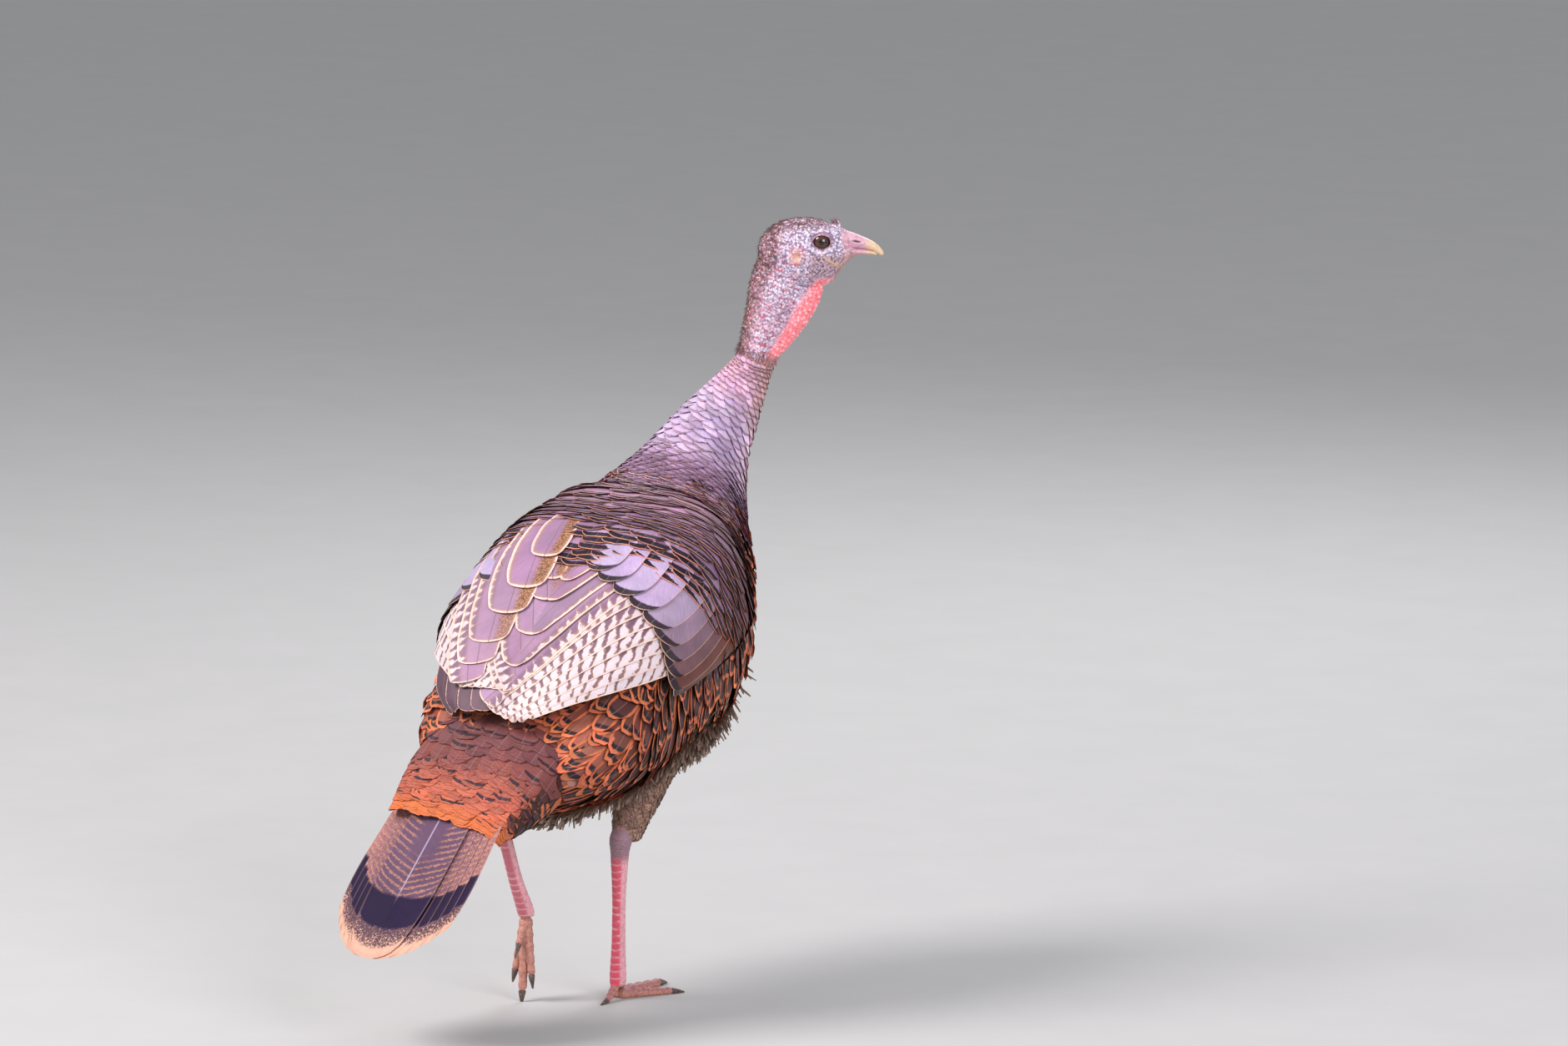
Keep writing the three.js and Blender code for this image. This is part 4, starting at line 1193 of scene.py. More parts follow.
def plumage(name):
    """Vaned feather: ground colour, fine cross bars, a dark band before the tip, a pale edge that follows the
    vane, a shaft, and barbs that run out from it."""
    f = Finish(name, Sheen_Weight=0.03, Sheen_Roughness=0.4, Specular_IOR_Level=0.32)
    _, across, from_tip, _, side = vane_places(f)
    ground, edge, band, mark = (f.own(key) for key in COLOURS)
    edge_width, band_width = f.own("ground", "Alpha") * EDGE_SCALE, f.own("edge", "Alpha") * BAND_SCALE
    gloss, seed = f.own("band", "Alpha"), f.own("mark", "Alpha")
    band_place, bars, spacing = f.parts(mark)
    band_place, spacing = band_place * BAND_SCALE, spacing * BAND_SCALE
    rag, soft, fine = f.noise(420, 3, 0.6), f.noise(45, 2, 0.5), f.noise(1500, 2, 0.6)
    wobble = (rag - 0.5) * 2.2
    # bars, broken where the noise runs high
    rows = from_tip - across * 0.16 + wobble * 0.9 + seed * 7
    wave = f.maths("FRACT", rows / f.maths("MAXIMUM", spacing, 0.5))
    bar = f.ease(0.30, 0.42, wave) * (1 - f.ease(0.58, 0.74, wave))
    dark = f.mix(bar * f.ease(0.32, 0.52, rag + soft * 0.4 - 0.18) * bars, ground, band)
    # band
    place = from_tip + wobble * 0.8
    inside = f.ease(band_place - 0.5, band_place + 0.3, place) * (
        1 - f.ease(band_place + band_width - 0.6, band_place + band_width + 1.2, place))
    banded = f.mix(inside, dark, band)
    # edge
    near = f.maths("MINIMUM", from_tip, side * 1.6) + wobble * 0.35
    rim = 1 - f.ease(edge_width * 0.7, edge_width * 1.15 + 0.15, near)
    edged = f.mix(rim, banded, edge)
    # barbs and shaft
    barbs, lit = barbed(f, edged, (across, from_tip), 1.25, 0.9, wobble * 0.2, (soft, fine), seed,
                        (0.06, 0.6, 0.25, 0.9))
    f.feed("Base Color", f.mix((1 - f.ease(0.25, 0.6, across)) * 0.3, lit, (0.33, 0.25, 0.24)))
    f.feed("Roughness", 0.55 + 0.18 * (fine - 0.5) - 0.12 * gloss + 0.1 * rim)
    f.bump(barbs * 0.5 + fine, 0.0002, 0.55)
    return f.material


def per_feather(rgb, n, rng, vary, hue, alpha):
    """One paint for each of n feathers, a little different each time, with a measure in the fourth place."""
    base = np.broadcast_to(np.asarray(rgb, float), (n, 3))
    tone = np.exp(rng.normal(0, vary, (n, 1)) + rng.normal(0, hue, (n, 3)))
    return np.column_stack([base * tone, np.broadcast_to(alpha, n)])


def paints(n, rng, **wanted):
    """The paints of n feathers, each a colour, how its lightness and hue vary, and the measure with it."""
    return {key: per_feather(rgb, n, rng, *rest) for key, (rgb, *rest) in wanted.items()}


def marks(n, rng, place, bars=0.0, spacing=6.0):
    """Where the dark band begins, how strong the bars are and how far apart, and the feather's own number."""
    columns = np.asarray(place) / BAND_SCALE, bars, np.asarray(spacing) / BAND_SCALE, rng.random(n)
    return np.column_stack([np.broadcast_to(column, n) for column in columns])


# ---- Contour feathers of neck, back and shoulders ----
# Mauve-grey scales on the neck turn into broad bronze feathers on the back, each with a black band and a thin
# rusty edge, laid like slates in rows.
NECK_PALE = paint(208, 184, 220)
BLACK = paint(34, 22, 34)
NECK_ROWS = [0.40, 0.47, 0.54, 0.60, 0.66, 0.70]  # places along the body line with a measure each
BACK_ROWS = [0.25, 0.33, 0.42, 0.48]
BODY_LENGTH = 900  # millimetres along the body line, nearly
BACK_FEATHER = 47
contour = plumage("contour_plumage")


def off_back(degrees):
    """Degrees away from the middle of the back, on either side."""
    return np.abs((np.asarray(degrees) - 90 + 180) % 360 - 180)


def wing_front(t, degrees):
    """Whether a place lies under the folded wings' own quills and greater coverts."""
    side = off_back(degrees)
    edge_t = np.interp(side, [0, 14, 39, 59, 71, 91, 102, 108],
                       [0.262, 0.263, 0.258, 0.248, 0.244, 0.256, 0.272, 0.262])
    return (t < edge_t) & (side < 104)


def lower_wing_edge(t):
    """Degrees away from the middle of the back where the folded wing's lower edge lies."""
    return np.interp(t, [0.05, 0.074, 0.095, 0.128, 0.17, 0.224, 0.27, 0.33, 0.40, 0.46],
                     [10, 14, 44, 64, 81, 100.5, 102, 98, 84, 60])


def neck_roots():
    rng = np.random.default_rng(11)
    t, d = rows_of_roots(with_wings, 0.43, 0.708, by_place(NECK_ROWS, [4.6, 3.6, 6.6, 7.0, 5.0, 3.2]),
                         by_place(NECK_ROWS, [16, 15, 19, 15.5, 9.0, 5.5]), 12)
    n = len(t)
    wide = np.interp(t, NECK_ROWS, [24, 23, 29, 24, 13.5, 8.2])
    long = np.interp(t, NECK_ROWS, [26, 19, 22, 20, 14, 9])
    front = ease(95, 150, off_back(d))
    pale = ease(0.47, 0.56, t) * (1 - ease(0.66, 0.70, t))
    base = layered(
        paint(166, 130, 164), (NECK_PALE, pale), (paint(238, 184, 214), ease(0.62, 0.68, t) * 0.9),
        (paint(250, 222, 236), front * 0.85 * ease(0.44, 0.52, t)),
        (paint(216, 158, 150), front * ease(0.60, 0.67, t) * 0.7))
    rusty = np.clip(ease(0.6, 0.68, t) * 0.6 + front * ease(0.48, 0.56, t), 0, 1)
    # the brown-mauve rim is partly the feathers' own fringe, partly painted shade along the edges of the rows
    edge = layered(paint(158, 120, 124), (paint(206, 168, 176), pale), (paint(190, 118, 92), rusty * 0.8),
                   (paint(220, 162, 166), ease(0.64, 0.68, t) * 0.7 * (1 - front)))
    return dict(
        t=t - 0.2 * long / BODY_LENGTH, degrees=d, length=long, width=wide, aim=rng.normal(0, 5, n),
        height=0.2, depth=np.interp(t, [0.58, 0.66, 0.70], [4.2, 2.4, 1.5]), camber=0.2, tilt=0.3,
        curl=rng.normal(0.1, 0.15, n),
        **paints(n, rng, ground=(base, 0.15, 0.03, 0.07), edge=(edge, 0.15, 0.03, 0.045),
                 band=(blended(paint(66, 46, 60), paint(116, 86, 108), pale), 0.25, 0.03, 0.6)),
        mark=marks(n, rng, 1.0))


coat_piece("coat_neck", [grown_feathers(with_wings, neck_roots(), (4, 5), dict(round_tip=0.26), 13)],
           contour)


def back_keep(t, degrees):
    """Leaves out the feathers that the folded wings would hide."""
    tips = t - BACK_FEATHER / with_wings.read(with_wings.per_t, t, degrees)
    middle = 0.022 * (1 - ease(20, 46, off_back(degrees)))
    return ~wing_front(tips + 0.008 + middle, degrees) & (off_back(degrees) < lower_wing_edge(t) + 26)


def back_roots():
    rng = np.random.default_rng(21)
    t, d = rows_of_roots(with_wings, 0.262, 0.46, by_place([0.25, 0.32, 0.40, 0.47], [10.5, 10, 7, 4.4]),
                         by_place(BACK_ROWS, [31, 29, 23, 16]), 22, back_keep)
    n = len(t)
    upper = ease(0.34, 0.43, t)
    flank = ease(78, 100, off_back(d))
    base = layered(paint(170, 134, 164), (paint(132, 98, 122), rng.random(n)), (paint(186, 148, 170), upper),
                   (paint(112, 66, 52), flank * 0.6))
    edge = layered(paint(214, 138, 104), (paint(224, 176, 170), upper), (paint(214, 118, 70), flank * 0.9))
    band_width = np.interp(t, [0.25, 0.33, 0.40, 0.46], [5.8, 5.0, 2.9, 1.4]) + 1.6 * flank
    return dict(
        t=t, degrees=d, length=np.interp(t, BACK_ROWS, [48, 45, 36, 25]),
        width=np.interp(t, BACK_ROWS, [48, 46, 36, 24]), aim=rng.normal(0, 4, n), height=0.3, depth=9.0,
        camber=0.4, tilt=0.4, curl=rng.normal(0.2, 0.2, n), fray=0.006,
        **paints(n, rng, ground=(base, 0.16, 0.04, 0.105), edge=(edge, 0.15, 0.04, band_width / BAND_SCALE),
                 band=(blended(BLACK, paint(62, 42, 56), upper), 0.2, 0.05, 0.9)),
        mark=marks(n, rng, 1.3))


coat_piece("coat_back", [grown_feathers(with_wings, back_roots(), (6, 6), dict(round_tip=0.10), 23)],
           contour)

# ---- Feathers of breast, flank and belly ----
# Dark feathers with rusty orange edges run down the breast and flank in long files. Under the belly they
# loosen into grey-brown down.
UNDER_ROWS = [0.0, 0.15, 0.33, 0.42, 0.5]
FILE_ROWS = [0.0, 0.15, 0.3, 0.42, 0.5]
HALVES = {"right": (31, 1), "left": (35, -1)}  # seed, and the sign of the places on that side


def under_roots(seed, way):
    rng = np.random.default_rng(seed)

    def keep(t, d):
        across = np.cos(np.radians(d))
        own_half = across >= 0 if way > 0 else across < 0
        return own_half & (off_back(d) > lower_wing_edge(t - 0.03) - 38)

    t, d = rows_of_roots(without_wings, 0.03, 0.475, by_place(FILE_ROWS, [13, 17, 16, 9, 6]),
                         by_place(FILE_ROWS, [17, 13, 12, 14, 11]), seed + 1, keep, 0.14)
    n = len(t)
    off = off_back(d)
    belly = ease(142, 170, off) * (1 - ease(0.36, 0.46, t))
    breast = ease(0.36, 0.47, t)
    rump = 1 - ease(0.10, 0.20, t)
    wide = np.interp(t, UNDER_ROWS, [26, 22, 19, 20, 17]) * rng.normal(1, 0.08, n)
    long = np.interp(t, UNDER_ROWS, [50, 64, 58, 34, 24]) * rng.normal(1, 0.1, n)
    base = layered(
        paint(64, 38, 40), (paint(104, 78, 82), breast),
        (paint(196, 108, 84), rump * (1 - ease(60, 110, off))), (paint(100, 76, 66), belly))
    edge = layered(paint(214, 116, 74), (paint(182, 100, 70), breast), (paint(128, 98, 80), belly))
    lift = np.clip(rng.normal(0.4, 1.0, n), -0.5, 3)
    hang = ease(84, 112, off) * (1 - ease(140, 172, off)) * ease(0.14, 0.24, t)
    hang = hang * (1 - ease(0.38, 0.46, t)) * np.sign(np.cos(np.radians(d)))
    return dict(
        t=t, degrees=d, length=long, width=wide, aim=rng.normal(0, 7, n) + 42 * hang, height=0.2, depth=9.0,
        camber=0.6, tilt=0.5, curl=lift, fray=0.05,
        **paints(n, rng, ground=(base, 0.15, 0.05, 0.46 - 0.30 * breast + 0.06 * rump),
                 edge=(edge, 0.16, 0.05, 0.30 * (1 - belly)), band=(paint(40, 24, 32), 0.2, 0.05, 0.3)),
        mark=marks(n, rng, 3.6 - 1.9 * breast + 1.4 * rump))


for word, half_of in HALVES.items():
    coat_piece("coat_under_" + word, [grown_feathers(
        without_wings, under_roots(*half_of), (4, 6), dict(round_tip=0.42), 33)], contour)

# Grey-brown down hangs loose under the belly, between and behind the thighs.
rng = np.random.default_rng(41)
t, d = rows_of_roots(without_wings, 0.06, 0.36, 4.6, 4.6, 42,
                     lambda t, d: off_back(d) > 136 + 26 * ease(0.22, 0.36, t), 0.25)
n = len(t)
outer = 1 - ease(136, 152, off_back(d))
down_roots = dict(
    t=t, degrees=d, length=rng.uniform(32, 50, n), width=rng.uniform(2.4, 4.2, n), aim=rng.normal(0, 22, n),
    height=2.0, depth=5.0, camber=0.2, tilt=0.1, curl=rng.uniform(4, 15, n) * (1 - 0.6 * outer), thick=0.3,
    fray=0.3,
    **paints(n, rng,
             ground=(blended(paint(104, 82, 64), paint(164, 142, 122), rng.random(n)), 0.15, 0.03, 0.0),
             edge=(paint(150, 126, 106), 0.1, 0.03, 0.0), band=(paint(84, 66, 54), 0.1, 0.02, 0.0)),
    mark=marks(n, rng, 4.0))
down = grown_feathers(without_wings, down_roots, (2, 5), dict(round_tip=0.8, waist=0.5, point=0.5), 43)
coat_piece("belly_down", [down], contour)

# ---- Folded wings ----
# The greater coverts lie like a smooth mauve-grey shield that turns copper below, with round black tips. From
# under them come the secondaries, one over the next, each barred white along its outer edge, then the tips of
# the primaries. Near the middle of the back the innermost quills are broad and plain with a cream fringe.


def quill(name):
    """Quill vane: plain middle, white notches from the outer edge, mottled inner vane and cream fringe."""
    f = Finish(name, Sheen_Weight=0.04, Specular_IOR_Level=0.35)
    u, across, from_tip, _, side = vane_places(f)
    ground, edge, bar_paint, mark = (f.own(key) for key in COLOURS)
    notch, reach, spacing = f.parts(mark)
    fringe = f.own("ground", "Alpha") * EDGE_SCALE
    dusk, mottle = f.own("edge", "Alpha"), f.own("mark", "Alpha")
    rag, soft, fine = f.noise(330, 3, 0.6), f.noise(38, 2, 0.5), f.noise(1400, 2, 0.6)
    wobble = (rag - 0.5) * 2
    # white notches, wide at the outer edge and narrowing inwards
    drift = (f.noise(60, 2, 0.5) - 0.5) * 15
    wave = f.maths("FRACT", (from_tip - u * 26 + wobble * 1.3 + drift) / (spacing * BAND_SCALE))
    off = f.maths("ABSOLUTE", wave - 0.5) * 2
    inward = u / f.maths("MAXIMUM", reach, 0.02) + wobble * 0.12
    limit = 0.30 + 0.42 * notch - f.ease(0.25, 1.0, inward) * (0.75 - 0.35 * notch)
    ragged = off + wobble * 0.30 + (f.noise(110, 2, 0.5) - 0.5) * 0.7
    notched_at = f.ease(0.02, 0.2, notch)
    white = (1 - f.ease(limit - 0.10, limit + 0.12, ragged)) * notched_at * (1 - f.ease(1.0, 1.25, inward))
    tan_zone = (1 - f.ease(limit, limit + 0.45, ragged)) * notched_at * (1 - f.ease(1.1, 1.5, inward)) * 0.7
    dark = f.mix((1 - f.ease(0.8, 1.4, inward)) * notch * dusk, ground, bar_paint)
    browned = f.mix(tan_zone, dark, (0.40, 0.22, 0.14))
    notched = f.mix(white * (0.9 + wobble * 0.1), browned, (0.72, 0.62, 0.66))
    # mottled inner vane
    mottled_paint = f.mix(f.ease(0.42, 0.58, f.noise(620, 4, 0.75)), (0.085, 0.04, 0.03), (0.50, 0.22, 0.09))
    mottled = f.mix(f.ease(0.54, 0.72, u + wobble * 0.09) * mottle, notched, mottled_paint)
    # fringe
    near = f.maths("MINIMUM", from_tip, side) + wobble * 0.5
    warm = (1 - f.ease(fringe * 0.9, fringe * 2.8, near)) * (1 - notch * 0.9)
    warmed = f.mix(warm * 0.75, mottled, (0.44, 0.23, 0.15))
    rim = 1 - f.ease(fringe * 0.55, fringe * 1.3, near + (rag - 0.5) * 1.6)
    fringed = f.mix(rim, warmed, edge)
    # barbs and shaft
    barbs, lit = barbed(f, fringed, (across, from_tip), 1.1, 1.1, wobble * 0.2, (soft, fine), notch,
                        (0.02, 0.45, 0.2, 0.55))
    f.feed("Base Color", f.mix((1 - f.ease(0.35, 0.8, across)) * 0.65, lit, (0.16, 0.10, 0.10)))
    f.feed("Roughness", 0.46 + 0.2 * (fine - 0.5) + 0.1 * rim)
    f.bump(barbs * 0.3 + fine + (1 - f.ease(0.3, 0.9, across)) * 1.5, 0.0002, 0.5)
    return f.material


QUILL_MAUVE = paint(160, 123, 152)
CREAM = paint(232, 200, 184)
QUILL_DARK = paint(84, 58, 70)
NOTCH_SPACING = 12.0
WING_BOW = 9  # degrees that the lowest quill bows outwards
LEFT_TIPS_END = 0.110  # the left wing's quills stop short here, above the tail
quill_finish = quill("quill_plumage")

# Each row is a feather of the right wing: where its root and tip lie along the body and round it, its width,
# how strongly its outer edge is notched with white, how far in the notches reach, and its mottling.
SECONDARIES = [
    (0.300, 60, 0.2230, 86, 32, 0.20, 0.12, 0.9),
    (0.292, 54, 0.2020, 90, 38, 0.25, 0.13, 0.5),
    (0.286, 47, 0.1690, 92, 42, 0.30, 0.14, 0.0),
    (0.280, 40, 0.1380, 95, 44, 0.40, 0.20, 0.0),
    (0.274, 33, 0.1060, 95, 44, 0.55, 0.28, 0.0),
    (0.266, 27, 0.0880, 104, 42, 0.65, 0.36, 0.0),
    (0.260, 21, 0.0820, 98, 40, 0.72, 0.44, 0.0),
    (0.254, 16, 0.0780, 91, 40, 0.80, 0.52, 0.0),
    (0.248, 11.5, 0.0760, 84, 38, 0.86, 0.60, 0.0),
    (0.243, 7.5, 0.0750, 77, 38, 0.92, 0.70, 0.0),
    (0.238, 4, 0.0770, 69, 36, 0.96, 0.80, 0.0),
    (0.234, 1, 0.0820, 61, 34, 1.00, 0.90, 0.0),
]
# On the left wing the six innermost quills lie over the right wing's, stepped down the middle of the back.
LEFT_INNER = [
    (0.315, 66, 0.2440, 73, 40, 0.10, 0.10, 1.0),
    (0.310, 58, 0.2080, 71, 52, 0.12, 0.10, 1.0),
    (0.290, 52, 0.1820, 67, 54, 0.35, 0.12, 1.0),
    (0.275, 44, 0.1540, 63, 54, 0.45, 0.14, 0.8),
    (0.262, 38, 0.1310, 61, 52, 0.55, 0.20, 0.1),
    (0.250, 33, 0.1090, 58, 50, 0.65, 0.28, 0.0),
]
PRIMARIES = {
    "right": [(0.20, 66, 0.100, 70, 30), (0.20, 58, 0.106, 62, 30), (0.20, 50, 0.114, 54, 30),
              (0.20, 42, 0.122, 46, 30)],
    "left": [(0.20, 66, 0.076, 76, 34), (0.20, 57, 0.074, 62, 34), (0.20, 48, 0.078, 47, 32),
             (0.20, 39, 0.086, 33, 30)],
}
# Greater coverts: where each one's root and tip lie along the body and round it.
GREATER_COVERTS = np.array([
    (0.300, 64, 0.236, 66), (0.298, 54, 0.226, 56), (0.296, 42, 0.216, 45), (0.294, 31, 0.208, 36),
    (0.292, 20, 0.199, 28), (0.292, 12, 0.192, 22), (0.292, 5, 0.185, 17), (0.292, -1, 0.178, 12),
    (0.293, -6, 0.173, 7), (0.295, -10, 0.174, 2), (0.298, -14, 0.184, -4),
])
QUILL_SHAPE = dict(round_tip=0.30, waist=0.6)


def mirrored(degrees, left):
    return 180 - degrees if left else degrees


def wing_roots(rows, left, height, rng, bow=0.0, shortest=0.0):
    rows = np.array(rows, float)
    n = len(rows)
    return dict(
        t=rows[:, 0], degrees=mirrored(rows[:, 1], left), tip_t=np.maximum(rows[:, 2], shortest),
        tip_degrees=mirrored(rows[:, 3], left), width=rows[:, 4],
        bow=(bow if left else -bow) * (np.arange(n) / n) ** 1.5,
        height=height, depth=5.0, camber=0.5, tilt=1.6 if left else -1.6, thick=0.7,
        **paints(n, rng, ground=(QUILL_MAUVE, 0.06, 0.02, 0.30 - 0.16 * rows[:, 5]),
                 edge=(CREAM, 0.05, 0.02, 0.9), band=(QUILL_DARK, 0.1, 0.02, 0.6)),
        mark=np.column_stack([rows[:, 5:7], np.full(n, NOTCH_SPACING / BAND_SCALE), rows[:, 7]]))


def wing_vanes(roots, left, pattern, shape, seed):
    """Quills of one wing. On the left the vane map is turned over, to run from the outer edge inwards too."""
    batch = grown_feathers(with_wings, roots, pattern, shape, seed)
    if left:
        batch["maps"]["Vane"][..., 0] = 1 - batch["maps"]["Vane"][..., 0]
    return batch


for word, left in (("right", False), ("left", True)):
    rng = np.random.default_rng(51 + left)
    flags = wing_roots([(*row, 0.0, 0.1, 0.0) for row in PRIMARIES[word]], left, -2.0, rng)
    flags["ground"] = per_feather(paint(92, 62, 76), 4, rng, 0.05, 0.02, 0.05)
    secondaries = wing_roots(SECONDARIES, left, 0.0, rng, WING_BOW, LEFT_TIPS_END * left)
    batches = [wing_vanes(flags, left, (8, 26), dict(round_tip=0.34, waist=0.7), 52),
               wing_vanes(secondaries, left, (10, 34), QUILL_SHAPE, 53)]
    if left:
        inner = wing_roots(LEFT_INNER, left, 3.4, rng)
        batches.append(wing_vanes(inner, left, (10, 34), dict(round_tip=0.2, waist=0.6), 54))
    quills = coat_piece("wing_quills_" + word, batches, quill_finish)
    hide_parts("wing_secondaries_" + word, "wing_primaries_" + word)

    n = len(GREATER_COVERTS)
    root_t, root_degrees, tip_t, tip_degrees = GREATER_COVERTS.T
    copper = ease(40, 4, tip_degrees)
    greater = dict(
        t=root_t, degrees=mirrored(root_degrees, left), tip_t=tip_t, tip_degrees=mirrored(tip_degrees, left),
        width=42, height=1.2, depth=4.0, camber=0.3, tilt=1.1 if left else -1.1, thick=0.6,
        **paints(n, rng, ground=(blended(paint(182, 162, 194), paint(100, 50, 36), copper), 0.04, 0.02, 0.08),
                 edge=(paint(214, 164, 130), 0.05, 0.02, 6.5 / BAND_SCALE),
                 band=(paint(44, 30, 42), 0.1, 0.02, 0.9)),
        mark=marks(n, rng, 0.9))
    coverts = coat_piece("wing_coverts_coat_" + word, [grown_feathers(
        with_wings, greater, (8, 16), QUILL_SHAPE, 57)], contour)
    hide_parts("wing_coverts_" + word)

# ---- Tail ----
# Eleven of the tail's quills show, folded one under the next with the middle one on top. Each is mauve-grey
# with fine wavy tan bars, then a broad black band and a buff tip.
TAIL_ROOT = np.array([-14.0, -154.0, 303.0])
TAIL_DROOP, TAIL_SWING = math.radians(49), math.radians(9.5)
TAIL_LENGTH, TAIL_PAIRS, TAIL_FAN = 279, 5, 4.6
TAIL_QUILL = 70  # width in millimetres
MIDDLE_QUILL = 84


def on_tail(side, back, up):
    """A place on the tail: sideways, out from its root, and above its middle."""
    c, s = math.cos(TAIL_DROOP), math.sin(TAIL_DROOP)
    y, z = -back * c - up * s, -back * s + up * c
    c, s = math.cos(-TAIL_SWING), math.sin(-TAIL_SWING)
    return TAIL_ROOT + np.stack([side * c - y * s, side * s + y * c, z], -1)


def tail_finish():
    """Tail vane: wavy tan bars that fade towards the tip, a broad black band and a speckled buff end."""
    f = Finish("tail_plumage", Sheen_Weight=0.0, Specular_IOR_Level=0.18)
    _, across, from_tip, middle, side = vane_places(f)
    plain = f.own("mark", "Alpha")
    rag, speck = f.noise(260, 4, 0.65), f.noise(520, 3, 0.7)
    soft, fine = f.noise(30, 2, 0.5), f.noise(1400, 2, 0.6)
    wobble = (rag - 0.5) * 2
    # bars and stipple
    wave = f.maths("FRACT", (from_tip - across * 0.30 + wobble * 3.4) / 7.6)
    bar = f.ease(0.20, 0.36, wave) * (1 - f.ease(0.52, 0.70, wave)) * f.ease(0.38, 0.52, speck)
    fade = f.maths("MAXIMUM", f.ease(0.30, 0.60, middle + wobble * 0.10),
                   1 - f.ease(100, 126, from_tip + wobble * 10))
    base = f.mix(f.own("ground", "Alpha"), (0.125, 0.066, 0.118), (0.28, 0.12, 0.14))
    barred = f.mix(bar * fade * 0.85, base, (0.50, 0.23, 0.14))
    stipple = f.ease(0.46, 0.60, speck + (rag - 0.5) * 0.3) * plain * 0.75
    stippled = f.mix(stipple, barred, (0.56, 0.27, 0.20))
    # band, end and rim
    black = f.ease(30, 35, from_tip + wobble * 4) * (1 - f.ease(69, 74, from_tip + wobble * 2))
    banded = f.mix(black, stippled, (0.014, 0.005, 0.034))
    specks = f.ease(0.38, 0.54, speck - 0.10 + from_tip * 0.006) * f.ease(9, 15, from_tip + wobble * 2)
    end_paint = f.mix(specks, (0.74, 0.42, 0.30), (0.10, 0.05, 0.07))
    ended = f.mix(1 - f.ease(31, 36, from_tip + wobble * 4), banded, end_paint)
    rim = 1 - f.ease(1.0, 2.4, f.maths("MINIMUM", from_tip * 0.4, side) + wobble * 0.4)
    rimmed = f.mix(rim * 0.18, ended, (0.50, 0.27, 0.22))
    # barbs and shaft
    barbs, lit = barbed(f, rimmed, (across, from_tip), 1.1, 1.2, 0.0, (soft, fine), plain,
                        (0.04, 0.6, 0.2, 0.6))
    stem = (1 - f.ease(0.6, 1.3, across)) * f.ease(60, 90, from_tip) * 0.8
    f.feed("Base Color", f.mix(stem, lit, (0.46, 0.38, 0.50)))
    f.feed("Roughness", 0.55 + 0.2 * (fine - 0.5))
    f.bump(barbs * 0.6 + fine + (1 - f.ease(0.5, 1.4, across)) * 2, 0.00025, 0.6)
    return f.material


def flat_vanes(place, rows, pattern, shape, colours):
    """Vanes laid out on a slanting sheet, each (sideways, back, up, length, width, fan, roll in degrees)."""
    u, v, width, drop = vane_pattern(*pattern, **shape)
    aside, back, up, length, wide, fan, roll = (values[:, None, None] for values in np.array(rows, float).T)
    n = len(rows)
    fan, roll = np.radians(fan), np.radians(roll)
    side = u * width * wide / 2
    far = v * length - drop * wide
    x = aside + side * np.cos(fan) + far * np.sin(fan)
    y = back - side * np.sin(fan) + far * np.cos(fan)
    rise = up - 1.2 * u**2 + side * np.sin(roll) - 3.0 * (v - 0.4) ** 2
    flat = (np.arange(n)[:, None, None] + 0.05 + 0.9 * (u * 0.5 + 0.5)) / n, 0.02 + 0.96 * v
    return vane_batch(place(x, y, rise), place(x, y, rise - 0.8), u, v, side, (1 - v) * length, flat, colours)


tail_places = sorted(range(-TAIL_PAIRS, TAIL_PAIRS + 1), key=lambda p: -abs(p))
tail_outward = np.abs(tail_places) / TAIL_PAIRS
tail_rows = [
    (6 * place, 0, -1.2 * abs(place) - 0.8, TAIL_LENGTH * (1 - 0.12 * outward**2),
     TAIL_QUILL if place else MIDDLE_QUILL, TAIL_FAN * place / TAIL_PAIRS, -1.6 * np.sign(place))
    for place, outward in zip(tail_places, tail_outward)
]
tail_ground, tail_plain = np.zeros((2, len(tail_rows), 4))
tail_ground[:, 3], tail_plain[:, 3] = tail_outward, tail_outward * 0.9
tail = coat_piece("tail_quills", [flat_vanes(
    on_tail, tail_rows, (12, 40), dict(round_tip=0.34, waist=0.55),
    dict(ground=tail_ground, edge=tail_plain, band=tail_plain, mark=tail_plain))],
    tail_finish())
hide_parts("tail_feathers")

# Upper and under tail coverts are one soft wedge of chestnut feathers round the quills' roots.
TAIL_COVERTS = np.array([
    [*on_tail(0, 138, -4), 66, 7, 10, 2.8, 0],
    [*on_tail(2, 104, -9), 75, 14, 32, 2.8, 0],
    [*on_tail(3, 64, -16), 83, 22, 48, 2.8, 0],
    [*on_tail(4, 24, -26), 88, 30, 54, 2.6, 0],
    [*on_tail(4, -14, -36), 78, 38, 52, 2.4, 0],
], float)


def tube_outline(stations, rows, columns, dome):
    t, fullness = domed(rows, *dome)
    return Outline(tube(stations, t, columns, 0.0, fullness), 0.0, 1.0)


def covert_keep(t, degrees):
    """Above, the coverts end on a straight line across the tail; below, they end sooner."""
    top = ease(-0.35, 0.1, np.sin(np.radians(degrees)))
    return t > 0.47 + 0.16 * (1 - top)


